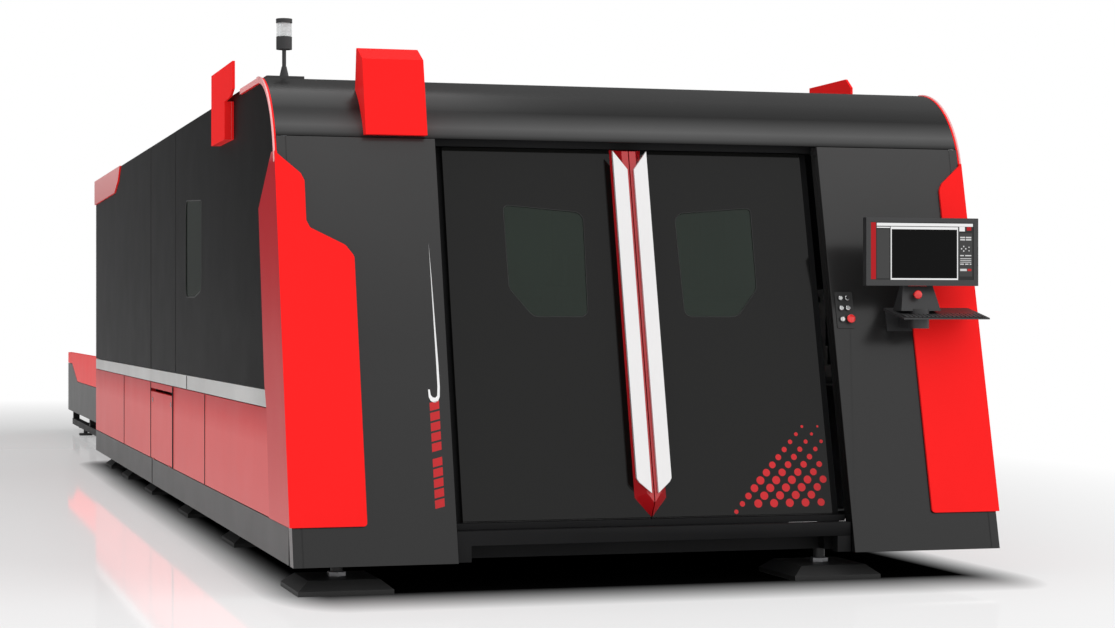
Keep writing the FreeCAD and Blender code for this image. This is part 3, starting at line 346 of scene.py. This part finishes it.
def gridFaces(rows, cols, closeRows=False, closeCols=False):
    r = np.arange(rows if closeRows else rows - 1)[:, None]
    c = np.arange(cols if closeCols else cols - 1)[None, :]
    r2, c2 = (r + 1) % rows, (c + 1) % cols
    quads = np.stack(np.broadcast_arrays(r * cols + c, r * cols + c2, r2 * cols + c2, r2 * cols + c), -1)
    return quads.reshape(-1, 4)


def join(parts):
    verts, faces, start = [], [], 0
    for points, quads in parts:
        verts.append(np.asarray(points, float).reshape(-1, 3))
        faces += [[start + i for i in face] for face in asList(quads)]
        start += len(verts[-1])
    return np.concatenate(verts), faces


def addPiece(name, shape, slotName, body, smooth=None, material=None, replaced=()):
    # smooth is the angle in degrees past which an edge stays sharp
    points, faces = shape
    name = name.replace(" ", "_")
    mesh = bpy.data.meshes.new(name)
    mesh.from_pydata(points.reshape(-1, 3).tolist(), [], asList(faces))
    mesh.update()
    if smooth is not None:
        mesh.polygons.foreach_set("use_smooth", [True] * len(mesh.polygons))
        mesh.set_sharp_from_angle(angle=math.radians(smooth))
    mesh.materials.append(material or finish(slotName))
    piece = bpy.data.objects.new(name, mesh)
    bpy.context.scene.collection.objects.link(piece)
    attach(piece, body)
    if replaced:
        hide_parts(*replaced)


def lathe(profile, origin, axis, count=32, ribs=0, ribDepth=0.0):
    # (radius, height) pairs turned about axis; ribs pull the radius in and out round the turn
    profile, origin = np.array(profile, float), np.asarray(origin, float)
    axis = np.asarray(axis, float) / np.linalg.norm(axis)
    side = np.cross(axis, [0.3, 0.5, 0.8] if abs(axis[2]) > 0.9 else upward)
    side /= np.linalg.norm(side)
    other = np.cross(axis, side)
    turn = np.linspace(0, 2 * np.pi, count, endpoint=False)
    radius = profile[:, :1] - ribDepth * (0.5 + 0.5 * np.cos(ribs * turn)) * (profile[:, :1] > ribDepth)
    ring = np.cos(turn)[:, None] * side + np.sin(turn)[:, None] * other
    points = origin + profile[:, 1][:, None, None] * axis + radius[:, :, None] * ring
    return points.reshape(-1, 3), gridFaces(len(profile), count, closeCols=True)


def tube(path, radius, normal, sides=10, closed=True):
    # round bead along a flat path; normal is square to the path's plane
    path, normal = np.asarray(path, float), np.asarray(normal, float)
    along = np.roll(path, -1, 0) - np.roll(path, 1, 0)
    if not closed:
        along[0], along[-1] = path[1] - path[0], path[-1] - path[-2]
    across = np.cross(along, normal)
    across /= np.linalg.norm(across, axis=1, keepdims=True)
    turn = np.linspace(0, 2 * np.pi, sides, endpoint=False)
    rim = np.cos(turn)[:, None] * normal + np.sin(turn)[:, None] * across[:, None]
    points = path[:, None] + radius * rim
    return points.reshape(-1, 3), gridFaces(len(path), sides, closeRows=closed, closeCols=True)


def slabs(outlines, offset):
    # each flat outline carried along offset as a closed prism
    parts = []
    for outline in np.asarray(outlines, float):
        n = len(outline)
        i = np.arange(n)
        walls = np.stack([i, (i + 1) % n, (i + 1) % n + n, i + n], -1).tolist()
        ends = [list(range(n))[::-1], list(range(n, 2 * n))]
        parts.append((np.concatenate([outline, outline + offset]), ends + walls))
    return join(parts)


blockEdge = {"share": 0.18, "most": 0.002}


def blocks(centres, sizes, axes=None):
    # boxes whose top edges are chamfered: a low ring, a ring just under the top and one drawn in on it
    centres = np.atleast_2d(centres).astype(float)
    sizes = np.broadcast_to(np.asarray(sizes, float), centres.shape)
    axes = np.eye(3) if axes is None else np.asarray(axes, float)
    sx = np.array([-1, 1, 1, -1]) * 0.5
    sy = np.array([-1, -1, 1, 1]) * 0.5
    edge = np.minimum(sizes.min(1) * blockEdge["share"], blockEdge["most"])[:, None]
    rings = []
    for level, inset, drop in ((-0.5, 0, 0), (0.5, 0, 1), (0.5, 1, 0)):
        w = sizes[:, :1] - 2 * inset * edge
        d = sizes[:, 1:2] - 2 * inset * edge
        h = level * sizes[:, 2:3] - drop * edge
        rings.append(np.stack([sx * w, sy * d, np.broadcast_to(h, (len(centres), 4))], -1))
    points = centres[:, None] + np.concatenate(rings, 1) @ axes
    walls = [[a + k, (a + 1) % 4 + k, (a + 1) % 4 + k + 4, a + k + 4] for k in (0, 4) for a in range(4)]
    face = np.array([[3, 2, 1, 0], [8, 9, 10, 11]] + walls)
    faces = (np.arange(len(centres))[:, None, None] * 12 + face).reshape(-1, 4)
    return points.reshape(-1, 3), faces


def roundedOutline(points, radii, steps=8):
    # polygon with each corner replaced by an arc; points are (a, b) pairs
    points = np.array(points, float)
    out = []
    for i, p in enumerate(points):
        u, v = points[i - 1] - p, points[(i + 1) % len(points)] - p
        u, v = u / np.linalg.norm(u), v / np.linalg.norm(v)
        half = math.acos(np.clip(u @ v, -1, 1)) / 2
        centre = p + (u + v) / np.linalg.norm(u + v) * radii[i] / math.sin(half)
        a, b = p + u * radii[i] / math.tan(half) - centre, p + v * radii[i] / math.tan(half) - centre
        t = np.linspace(0, 1, steps)[:, None]
        arc = a * (1 - t) + b * t
        out.append(centre + arc / np.linalg.norm(arc, axis=1, keepdims=True) * radii[i])
    return np.concatenate(out)


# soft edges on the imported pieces
softEdges = {"weld": 0.00002, "angle": math.radians(32), "wide": 0.00125, "narrow": 0.0008, "segments": 2,
             "weight": 100,
             "fine": ["button_plate", "monitor", "console_tray", "console_arm", "lamp_post", "cutting_head",
                      "mode_selector", "carriage", "gantry_motors", "access_door"],
             "plain": ["y_racks", "left_pinion", "right_pinion", "y_rails", "cross_rails", "roof_panels",
                       "left_door_window", "right_door_window", "side_windows"]}
for nodeName, node in cadNodes.items():
    count = len(node.data.polygons)
    node.data.polygons.foreach_set("use_smooth", [True] * count)
    weld = node.modifiers.new("weld", "WELD")
    weld.merge_threshold = softEdges["weld"]
    if nodeName in softEdges["plain"]:
        split = node.modifiers.new("split", "EDGE_SPLIT")
        split.split_angle = softEdges["angle"]
        continue
    bevel = node.modifiers.new("bevel", "BEVEL")
    bevel.limit_method = "ANGLE"
    bevel.angle_limit = softEdges["angle"]
    bevel.width = softEdges["narrow" if nodeName in softEdges["fine"] else "wide"]
    bevel.segments = softEdges["segments"]
    weighted = node.modifiers.new("weighted", "WEIGHTED_NORMAL")
    weighted.weight = softEdges["weight"]
print("soft edges")


# printed marks on the right door and the left column
halftone = {"rows": 8, "steps": 13, "x": 0.387, "z": 0.297, "rowStep": 0.0735, "stepX": 0.0309,
            "stepZ": 0.0329, "biggest": 0.0185, "smallest": 0.005, "upper": (0.43, 0.050),
            "left": (0.49, 0.085), "right": (0.70, 0.02), "edgeX": 0.832, "edgeZ": 0.284, "longest": 12,
            "shorter": 0.4, "sides": 22, "off": 0.095, "thick": 0.0006}


def halftoneShape(d):
    # dots on a slanted lattice whose rows get shorter; upper, left and right hold the line past which
    # the radius shrinks and its slope
    j, i = np.meshgrid(np.arange(d["rows"]), np.arange(-1, d["steps"]), indexing="ij")
    j, i = j.ravel(), i.ravel()
    x = d["x"] + d["rowStep"] * j + d["stepX"] * i
    z = d["z"] + d["stepZ"] * i
    radius = (d["biggest"] - d["upper"][1] * np.maximum(0, z - d["upper"][0])
              - d["left"][1] * np.maximum(0, d["left"][0] - x)
              - d["right"][1] * np.maximum(0, x - d["right"][0]))
    keep = (radius > d["smallest"]) & (x + radius < d["edgeX"]) & (z - radius > d["edgeZ"])
    keep &= i < d["longest"] - d["shorter"] * j
    x, z, radius = x[keep], z[keep], radius[keep]
    turn = np.linspace(0, 2 * np.pi, d["sides"], endpoint=False)
    rim = onFace(x, z, d["off"])[:, None] + radius[:, None, None] * (
        np.cos(turn)[:, None] * sideways + np.sin(turn)[:, None] * faceUp)
    return slabs(rim, faceOut * d["thick"])


addPiece("halftone", halftoneShape(halftone), "cover_red", "right_door",
         material=paint("halftone", (0.62, 0.010, 0.016), 0.35, 0.3, peel=0.03))

# a white hooked stroke in millimetres, and two stacks of slanted red bars below it
blade = {"outline": [(-938, 1457), (-936.5, 1300), (-935, 1100), (-934, 950), (-934, 850), (-937, 812),
                     (-946, 803), (-957, 805), (-965, 814), (-968, 838), (-975, 838), (-974, 806),
                     (-966, 790), (-950, 782), (-935, 789), (-927, 806), (-924, 850), (-925, 950),
                     (-929, 1100), (-933.5, 1300)],
         "thick": 0.0004}
bars = {"count": 5, "low": (0.345, 0.578), "pitch": 0.0425, "tall": 0.034, "left": -0.972, "right": -0.931,
        "slant": 0.010, "thick": 0.0004}
corners = np.array(blade["outline"]) / 1000
addPiece("column blade", slabs([onFace(corners[:, 0], corners[:, 1])[::-1]], faceOut * blade["thick"]),
         "column_grey", "machine", material=paint("mark white", (0.78, 0.78, 0.78), 0.4, 0.3, peel=0.03))
marks = []
for start in bars["low"]:
    z = start + np.arange(bars["count"]) * bars["pitch"]
    x = np.array([bars["left"], bars["right"], bars["right"], bars["left"]])
    rise = np.array([0, bars["slant"], bars["tall"] + bars["slant"], bars["tall"]])
    marks.append(onFace(np.broadcast_to(x, (len(z), 4)), z[:, None] + rise))
addPiece("column bars", slabs(np.concatenate(marks), faceOut * bars["thick"]), "column_grey", "machine",
         material=paint("mark red", (0.50, 0.010, 0.014), 0.4, 0.3, peel=0.03))
print("printed marks")


# signal lamp: a ribbed clear lens with two grooves round it, and the white core inside
lampLook = {"x": -1.460, "back": 0.930, "low": 2.3892, "height": 0.0616, "radius": 0.034, "wall": 0.0045,
            "grooves": (0.018, 0.040), "grooveDeep": 0.0008, "ribs": 30, "ribDeep": 0.0009, "count": 120}
lampAt = behindFoot(lampLook["x"], lampLook["back"], lampLook["low"])


def lensProfile(d):
    r, h, inner = d["radius"], d["height"], d["radius"] - d["wall"]
    grooves = [pair for z in d["grooves"]
               for pair in ((r, z), (r - d["grooveDeep"], z + 0.002), (r, z + 0.004))]
    return [(r - 0.004, 0.0), (r, 0.002)] + grooves + [
        (r, h - 0.002), (r - 0.004, h), (inner, h - 0.001), (inner, 0.001), (r - 0.004, 0.0)]


addPiece("lamp lens", lathe(lensProfile(lampLook), lampAt, upward, lampLook["count"], lampLook["ribs"],
                            lampLook["ribDeep"]), "lamp_clear", "machine", 40, replaced=["lamp_lens"])
core = [(onAxis, 0.002), (0.013, 0.002), (0.013, 0.056), (0.010, 0.059), (onAxis, 0.059)]
addPiece("lamp core", lathe(core, lampAt, upward, 32), "lamp_clear", "machine", 35,
         material=plastic("lamp core", (0.85, 0.85, 0.83), 0.4))
print("lamp")


# push buttons, selector and stop buttons
controls = {"x": 0.942, "z": 1.181, "pitchX": 0.031, "pitchZ": 0.044, "radius": 0.010, "top": 0.014,
            "mushroom": 0.019, "mushroomLow": 0.017, "mushroomHigh": 0.029, "dome": 0.006, "stem": 0.010,
            "stop": (0.9635, 1.131), "consoleStop": (1.222, 0.111, 1.242)}
buttonTones = {"start_button": (0.70, 0.71, 0.70), "hold_button": (0.02, 0.02, 0.02),
               "light_button": (0.55, 0.56, 0.56), "reset_button": (0.30, 0.31, 0.31)}
buttonFace = [(onAxis, 0.0128), (0.0074, 0.0128), (0.0068, 0.0134), (onAxis, 0.0139)]


def rimProfile(d):
    r, top = d["radius"], d["top"]
    return [(onAxis, 0.001), (r, 0.001), (r, top - 0.001), (r - 0.001, top), (r - 0.002, top),
            (r - 0.0026, top - 0.0014), (r - 0.005, top - 0.0018), (onAxis, top - 0.0019)]


def mushroomProfile(d, foot):
    r, low, high = d["mushroom"], d["mushroomLow"], d["mushroomHigh"]
    dome = [(r * math.cos(a), high - d["dome"] * (1 - math.sin(a))) for a in np.linspace(0, np.pi / 2, 9)]
    stem = [(onAxis, foot), (d["stem"], foot), (d["stem"], low), (r - 0.002, low), (r, low + 0.0015)]
    return stem + dome[:-1] + [(onAxis, high)]


for index, (nodeName, tone) in enumerate(buttonTones.items()):
    place = onFace(controls["x"] + (index % 2 - 0.5) * controls["pitchX"],
                   controls["z"] + (controls["pitchZ"] if index < 2 else 0))
    addPiece(nodeName + " rim", lathe(rimProfile(controls), place, faceOut, 40), "button_chrome",
             nodeName, 35, replaced=[nodeName])
    addPiece(nodeName + " face", lathe(buttonFace, place, faceOut, 32), "button_chrome", nodeName, 35,
             material=plastic(nodeName + " face", tone, 0.3, 0.02, coat=0.3))
addPiece("stop head", lathe(mushroomProfile(controls, 0.001), onFace(*controls["stop"]), faceOut, 48),
         "stop_red", "stop_button", 50, replaced=["stop_button"])
addPiece("console stop head",
         lathe(mushroomProfile(controls, -0.037), behindFoot(*controls["consoleStop"]), (0, -1, 0), 48),
         "stop_red", "console_stop", 50, replaced=["console_stop"])
print("controls")


# screen: areas as (left, right, low, high) in millimetres from its middle, each tone a little prouder
screenLook = {"x": 1.240, "z": 1.431, "back": 0.0829, "lift": 0.0001, "thick": 0.00008}
screenAreas = {
    "screen dark": ((0.030, 0.030, 0.030), [(-247, 247, -124, 130)]),
    "screen red": ((0.42, 0.012, 0.016), [(-246, -222, -122, 128), (214, 236, 96, 112)]),
    "screen white": ((0.80, 0.80, 0.80), [
        (-218, 244, 113, 126), (-218, -155, 104, 109), (-152, 172, 99, 110), (-152, -147, -124, 99),
        (167, 172, -124, 99), (-147, 167, -124, -117), (178, 205, 92, 112)]),
    "screen grey": ((0.055, 0.055, 0.055), [
        (-218, -158, -118, 98), (-46, -43, -106, 92), (64, 67, -106, 92), (178, 240, -108, 84),
        (-42, 62, -110, -107)]),
    "screen black": ((0.001, 0.001, 0.001), [(-147, 167, -117, 99)]),
    "screen keys": ((0.60, 0.60, 0.60), [
        (182, 206, 62, 68), (210, 236, 62, 68), (182, 206, 52, 58), (210, 236, 52, 58), (196, 202, 22, 28),
        (186, 192, 12, 18), (206, 212, 12, 18), (196, 202, 2, 8), (222, 228, 20, 24), (222, 228, 4, 8),
        (182, 200, -18, -13), (206, 236, -18, -13), (182, 236, -30, -27), (182, 236, -38, -35),
        (182, 236, -46, -43), (182, 200, -56, -51), (206, 222, -56, -51), (228, 236, -56, -51),
        (182, 214, -84, -74)]),
    "screen alert": ((0.50, 0.02, 0.02), [(218, 236, -84, -74)]),
}
for layer, (areaName, (tone, spans)) in enumerate(screenAreas.items(), 1):
    spans = np.array(spans, float) / 1000
    x = screenLook["x"] + spans[:, [0, 1, 1, 0]]
    z = screenLook["z"] + spans[:, [2, 2, 3, 3]]
    y = np.full_like(x, frontFoot + screenLook["back"] - layer * screenLook["lift"])
    addPiece(areaName, slabs(np.stack([x, y, z], -1), np.array([0, -screenLook["thick"], 0])),
             "console_black", "monitor", material=flatGlow(areaName, tone, 1.0))

# keys on the sloping tray, none where the monitor's stand is
keyboard = {"x": (1.142, 1.510), "rows": 4, "keys": 19, "back": 0.012, "z": 1.139, "first": 0.018,
            "pitchY": 0.0185, "size": 0.0155, "tall": 0.004, "lift": 0.003, "slope": math.atan2(45, 220),
            "fullRows": 3, "standX": 1.24, "standHalf": 0.115}
trayAlong = np.array([0, math.cos(keyboard["slope"]), math.sin(keyboard["slope"])])
trayUp = np.array([0, -math.sin(keyboard["slope"]), math.cos(keyboard["slope"])])
rowAt, keyAt = np.meshgrid(np.arange(keyboard["rows"]), np.linspace(*keyboard["x"], keyboard["keys"]),
                           indexing="ij")
rowAt, keyAt = rowAt.ravel()[:, None], keyAt.ravel()[:, None]
centre = (behindFoot(0, keyboard["back"], keyboard["z"]) + keyAt * sideways + keyboard["lift"] * trayUp
          + (keyboard["first"] + rowAt * keyboard["pitchY"]) * trayAlong)
keep = (rowAt < keyboard["fullRows"]) | (np.abs(keyAt - keyboard["standX"]) > keyboard["standHalf"])
addPiece("keys", blocks(centre[keep[:, 0]], (keyboard["size"], keyboard["size"], keyboard["tall"]),
                        np.stack([sideways, trayAlong, trayUp])), "console_black", "console",
         material=plastic("keys", (0.035, 0.035, 0.036), 0.35))
print("screen and keyboard")


slatLook = {"plates": 59, "teeth": 49, "deep": 0.034, "thick": 0.005}


def slatShape(nodeName, d):
    # one saw-toothed plate across the pallet, repeated at the places of the plain plates
    low, high = nodeBox(nodeName)
    columns = 2 * d["teeth"] + 1
    x = np.linspace(low[0], high[0], columns)
    top = high[2] - np.where(np.arange(columns) % 2 == 0, d["deep"], 0.0)
    lower, upper = [np.stack([x, np.zeros(columns), z], -1) for z in (np.full(columns, low[2]), top)]
    through = [0, d["thick"], 0]
    ring = np.stack([lower, upper, upper + through, lower + through])
    shift = np.zeros((d["plates"], 1, 1, 3))
    shift[:, 0, 0, 1] = np.linspace(low[1], high[1] - d["thick"], d["plates"])
    ends = np.arange(4) * columns
    faces = np.concatenate([gridFaces(4, columns, closeRows=True), [ends, (ends + columns - 1)[::-1]]])
    faces = (np.arange(d["plates"])[:, None, None] * 4 * columns + faces).reshape(-1, 4)
    return (ring[None] + shift).reshape(-1, 3), faces


for side in ("inner", "outer"):
    addPiece(side + " slats", slatShape(side + "_pallet_slats", slatLook), "slat_steel", side + "_pallet",
             replaced=[side + "_pallet_slats"])
print("slats")


# seals round the windows, and the bead up the arched edge painted pale as a painted highlight; corners and
# radii in millimetres
doorWindow = {"corners": [(222, 1143), (470, 1143), (572, 1268), (575, 1633), (211, 1603)],
              "radii": [35, 60, 60, 22, 45], "bead": 0.0022, "off": 0.0955}
sideWindow = {"corners": [(2854, 1285), (3139, 1251), (3526, 1254), (3526, 1783), (2854, 1754)],
              "radii": [60, 150, 60, 60, 40], "bead": 0.003, "reach": 1.5745}
arch = {"back": 0.8845, "z": 1.725, "radius": 0.474, "start": math.radians(9), "steps": 40,
        "reach": 1.5868, "bead": 0.0045, "sides": 8}
rubber = plastic("rubber", (0.010, 0.010, 0.010), 0.55, 0.15)
outline = roundedOutline(doorWindow["corners"], doorWindow["radii"]) / 1000
for sign, body in ((1, "right_door"), (-1, "left_door")):
    path = onFace(sign * outline[:, 0], outline[:, 1], doorWindow["off"])
    addPiece(body + " window seal", tube(path, doorWindow["bead"], faceOut), "door_black", body, 60,
             material=rubber)
outline = roundedOutline(sideWindow["corners"], sideWindow["radii"]) / 1000
turn = np.linspace(arch["start"], math.pi / 2, arch["steps"])
seals, edges = [], []
for sign in (1, -1):
    path = np.stack([np.full(len(outline), sign * sideWindow["reach"]), frontFoot + outline[:, 0],
                     outline[:, 1]], -1)
    seals.append(tube(path, sideWindow["bead"], sideways))
    bend = np.stack([np.full(len(turn), sign * arch["reach"]),
                     frontFoot + arch["back"] - arch["radius"] * np.cos(turn),
                     arch["z"] + arch["radius"] * np.sin(turn)], -1)
    edges.append(tube(bend, arch["bead"], sideways, arch["sides"], closed=False))
addPiece("side window seals", join(seals), "panel_black", "machine", 60, material=rubber)
# painted highlight: beads up the arched edges in a pale pink
addPiece("arch highlight beads", join(edges), "cover_red", "machine", 60,
         material=paint("painted highlight edge", (0.90, 0.42, 0.42), 0.3, 0.5, peel=0.0))

# dark rubber strips in the seams of the side panels, put there as painted shade for the dark lines of the
# panel gaps: place behind the foot, how far proud, low and high end
seams = {"places": [(2.731, 0.003, 0.280, 0.745), (4.102, 0.007, 0.280, 0.745),
                    (5.267, 0.003, 0.280, 0.745), (6.926, 0.003, 0.280, 0.745),
                    (3.997, 0.003, 0.832, 2.190), (5.258, 0.003, 0.832, 2.190),
                    (5.188, 0.003, 0.122, 0.274), (3.480, 0.003, 0.752, 0.824)],
         "reach": 1.5735, "sunk": 0.003, "wide": 0.0056}
strips = np.array([(sign * (seams["reach"] + proud / 2), frontFoot + y, (z0 + z1) / 2,
                    proud + seams["sunk"], seams["wide"], z1 - z0)
                   for y, proud, z0, z1 in seams["places"] for sign in (1, -1)])
addPiece("seam shade strips", blocks(strips[:, :3], strips[:, 3:]), "panel_black", "machine", material=rubber)

# brush under each door leaf
brush = {"inner": 0.004, "outer": 0.832, "low": 0.2768, "high": 0.2835, "off": 0.104, "deep": 0.020}
for sign, body in ((1, "right_door"), (-1, "left_door")):
    x = sign * np.array([brush["inner"], brush["outer"], brush["outer"], brush["inner"]])[::sign]
    z = np.array([brush["low"], brush["low"], brush["high"], brush["high"]])[::sign]
    addPiece(body + " brush", slabs([onFace(x, z, brush["off"])[::-1]], np.array([0, brush["deep"], 0])),
             "door_black", body, material=rubber)

# hexagon nuts on the levelling studs
nuts = {"radius": 0.040, "tall": 0.020, "bore": 0.0262, "z": 0.0605, "chamfer": (0.005, 0.003),
        "front": [(-1.352, 0.246), (0.815, 0.246)], "sideX": 1.300,
        "sideBack": (2.420, 4.260, 6.110, 7.630, 8.900)}
studs = nuts["front"] + [(sign * nuts["sideX"], back) for back in nuts["sideBack"] for sign in (1, -1)]


def nutProfile(d):
    across, down = d["chamfer"]
    return [(d["bore"], 0.0), (d["radius"], 0.0), (d["radius"], d["tall"] - down),
            (d["radius"] - across, d["tall"]), (d["bore"], d["tall"]), (d["bore"], 0.0)]


addPiece("stud nuts", join([lathe(nutProfile(nuts), behindFoot(x, back, nuts["z"]), upward, 6)
                            for x, back in studs]),
         "pad_black", "machine", 30, material=metal("nuts", (0.30, 0.30, 0.31), 0.4))

# quarter-turn locks and hinge barrels of the access door; the barrels lie on its joint's axis
access = {"x": -1.5750, "lockInset": 0.10, "lockDown": 0.05, "hingeZ": 0.280, "hingeInset": (0.12, 0.20)}
lock = [(onAxis, 0.0), (0.016, 0.0), (0.016, 0.002), (0.0145, 0.003), (0.010, 0.003), (0.0095, 0.0022),
        (0.004, 0.0022), (0.0035, 0.0012), (onAxis, 0.0012)]
hinge = [(onAxis, 0.0), (0.0038, 0.0), (0.0043, 0.001), (0.0043, 0.079), (0.0038, 0.080), (onAxis, 0.080)]
doorLow, doorHigh = nodeBox("access_door")
lockPlaces = [(access["x"], y, doorHigh[2] - access["lockDown"])
              for y in (doorLow[1] + access["lockInset"], doorHigh[1] - access["lockInset"])]
hingePlaces = [(access["x"], y, access["hingeZ"])
               for y in (doorLow[1] + access["hingeInset"][0], doorHigh[1] - access["hingeInset"][1])]
addPiece("access locks", join([lathe(lock, place, (-1, 0, 0), 28) for place in lockPlaces]), "panel_red",
         "access_door", 35, material=metal("lock metal", (0.35, 0.35, 0.36), 0.3))
addPiece("access hinges", join([lathe(hinge, place, (0, 1, 0), 20) for place in hingePlaces]), "panel_red",
         "access_door", 35, material=paint("hinge paint", (0.35, 0.010, 0.014), 0.3))
print("seals and fittings")


# inside the cabin: nozzle and collar rings of the cutting head, and light bars under the roof
headLook = {"behindSlide": -0.060, "rings": 2, "ringPitch": 0.012}
nozzle = [(0.0015, 0.0), (0.0046, 0.0), (0.0060, 0.004), (0.0100, 0.014), (0.0120, 0.016), (0.0120, 0.022),
          (0.0150, 0.024), (0.0150, 0.033), (0.0290, 0.0345), (onAxis, 0.0345)]
collar = [(0.0300, 0.050), (0.0335, 0.050), (0.0335, 0.056), (0.0300, 0.056), (0.0300, 0.050)]
headLow, headHigh = nodeBox("cutting_head")
slideLow, slideHigh = nodeBox("head_slide")
headAt = np.array([(headLow[0] + headHigh[0]) / 2, slideLow[1] + headLook["behindSlide"], headLow[2]])
addPiece("nozzle", lathe(nozzle, headAt, upward, 40), "head_metal", "head", 30,
         material=metal("copper", (0.72, 0.33, 0.18), 0.25))
rings = [lathe([(r, z + k * headLook["ringPitch"]) for r, z in collar], headAt, upward, 40)
         for k in range(headLook["rings"])]
addPiece("collar rings", join(rings), "head_metal", "head", 30,
         material=metal("collar rings", (0.75, 0.75, 0.76), 0.2))
lights = {"x": 1.05, "y": (-6.2, 1.0), "z": 2.118, "count": 4, "size": (0.07, 1.2, 0.035)}
centre = np.array([(sign * lights["x"], y, lights["z"])
                   for y in np.linspace(*lights["y"], lights["count"]) for sign in (1, -1)])
addPiece("cabin lights", blocks(centre, lights["size"]), "lamp_clear", "machine",
         material=flatGlow("light bars", (0.9, 0.95, 1.0), 0.5))
print("inside")


# stage, light and camera
camera = {"side": -3.194, "back": -9.584, "height": 1.134, "turn": math.radians(15.92), "lens": 76.82,
          "sensor": 36.0, "shiftUp": 0.0045, "farthest": 500}
floorLook = {"half": 120.0, "tone": (0.9, 0.9, 0.905), "glow": 0.34, "gloss": (0.035, 0.06),
             "smear": 0.6, "rectangle": (1.42, 4.56, 0), "rectangleMiddle": -3.0, "sideNarrower": 2.2,
             "shadowReach": 0.62, "shadowTone": (0.002, 0.002, 0.002), "shift": 1.2, "squeeze": 0.42,
             "fade": (2.8, 7.0)}
# strength at the low end and the high end of each axis' stretch of direction
sky = {"X": (0.6, 1.25, -0.8, 0.8), "Y": (1.25, 0.12, -0.3, 0.9), "Z": (1.0, 0.85, 0.3, 1.0)}
topBox = {"place": (-3.0, 3, 9.0), "target": (0, 3, 1.0), "wide": 6, "long": 10, "watts": 350}
white = colour(1, 1, 1)


def addToScene(name, data, place=(0, 0, 0), turn=(0, 0, 0)):
    thing = bpy.data.objects.new(name, data)
    thing.location = place
    thing.rotation_euler = turn
    bpy.context.scene.collection.objects.link(thing)
    return thing


def makeCamera(d):
    data = bpy.data.cameras.new("camera")
    data.lens = d["lens"]
    data.sensor_width = d["sensor"]
    data.shift_y = d["shiftUp"]
    data.clip_end = d["farthest"]
    place = behindFoot(d["side"], d["back"], d["height"])
    bpy.context.scene.camera = addToScene("camera", data, place, (math.pi / 2, 0, -d["turn"]))


def makeSky(d):
    # white to the camera; as a light it is strong in front, weaker on the left and dim behind:
    # the product of one range for each axis of the direction
    world = bpy.data.worlds.new("studio")
    bpy.context.scene.world = world
    world.use_nodes = True
    tree = world.node_tree
    tree.nodes.clear()
    direction = addNode(tree, "TexCoord", {}).outputs["Generated"]
    across, along, up = [addRange(tree, addAxis(tree, direction, axis), *d[axis]) for axis in "XYZ"]
    level = addMath(tree, "MULTIPLY", addMath(tree, "MULTIPLY", across, along), up)
    light = addNode(tree, "Background", {"Color": white, "Strength": level}).outputs["Background"]
    shown = addNode(tree, "Background", {"Color": white}).outputs["Background"]
    seen = addNode(tree, "LightPath", {}).outputs["Is Camera Ray"]
    addNode(tree, "OutputWorld", {"Surface": addMixShader(tree, seen, light, shown)})


def makeFloor(d):
    # a flat square: a painted black shadow under the machine, a painted soft shadow round its own
    # rectangle, glossy beyond and plain white far from it
    half = d["half"]
    mesh = bpy.data.meshes.new("floor")
    mesh.from_pydata([(-half, -half, 0), (half, -half, 0), (half, half, 0), (-half, half, 0)], [],
                     [(0, 1, 2, 3)])
    material, tree, shader = startMaterial("floor")
    # how far outside the machine's own rectangle a point of the floor lies
    away = addVectorMath(tree, "ABSOLUTE", objectPlace(tree, shift=(0, -d["rectangleMiddle"], 0)))
    past = addVectorMath(tree, "SUBTRACT", away, d["rectangle"])
    outside = addVectorMath(tree, "MAXIMUM", past, (0, 0, 0))
    narrowed = addVectorMath(tree, "MULTIPLY", outside, (d["sideNarrower"], 1, 0))
    gap = addVectorMath(tree, "LENGTH", narrowed)
    clear = addRange(tree, gap, 0, 1, 0.0, d["shadowReach"])
    place = objectPlace(tree, (1, d["squeeze"], 1))
    # the glow is black under the machine, part of the painted shadow
    fill(tree, shader, {"Base Color": colour(*d["tone"]), "Specular IOR Level": 0.5,
                        "Roughness": addRange(tree, addNoise(tree, place, d["smear"]), *d["gloss"]),
                        "Emission Strength": d["glow"],
                        "Emission Color": addMix(tree, clear, colour(0, 0, 0), white)})
    # painted shadow: a near-black diffuse under the machine, mixed in by the distance past its rectangle
    shadow = addNode(tree, "BsdfDiffuse", {"Color": colour(*d["shadowTone"])}).outputs["BSDF"]
    glow = addNode(tree, "Emission", {"Strength": 1.0}).outputs["Emission"]
    far = addVectorMath(tree, "LENGTH", objectPlace(tree, (1, d["squeeze"], 1), (d["shift"], 0, 0)))
    lit = addMixShader(tree, addRange(tree, far, 0, 1, *d["fade"]), shader.outputs["BSDF"], glow)
    fill(tree, tree.nodes["Material Output"], {"Surface": addMixShader(tree, clear, shadow, lit)})
    mesh.materials.append(material)
    floor = addToScene("floor", mesh)


def makeTopBox(d):
    # area light turned to look from its place at its target
    data = bpy.data.lights.new("top box", "AREA")
    data.shape = "RECTANGLE"
    data.size, data.size_y = d["wide"], d["long"]
    data.energy = d["watts"]
    place = behindFoot(*d["place"])
    away = place - behindFoot(*d["target"])
    pitch = math.atan2(math.hypot(away[0], away[1]), away[2])
    addToScene("top box", data, place, (pitch, 0, math.atan2(away[0], -away[1])))


makeCamera(camera)
makeSky(sky)
makeFloor(floorLook)
makeTopBox(topBox)
bpy.context.scene.view_settings.view_transform = "Standard"
print("stage, light and camera")
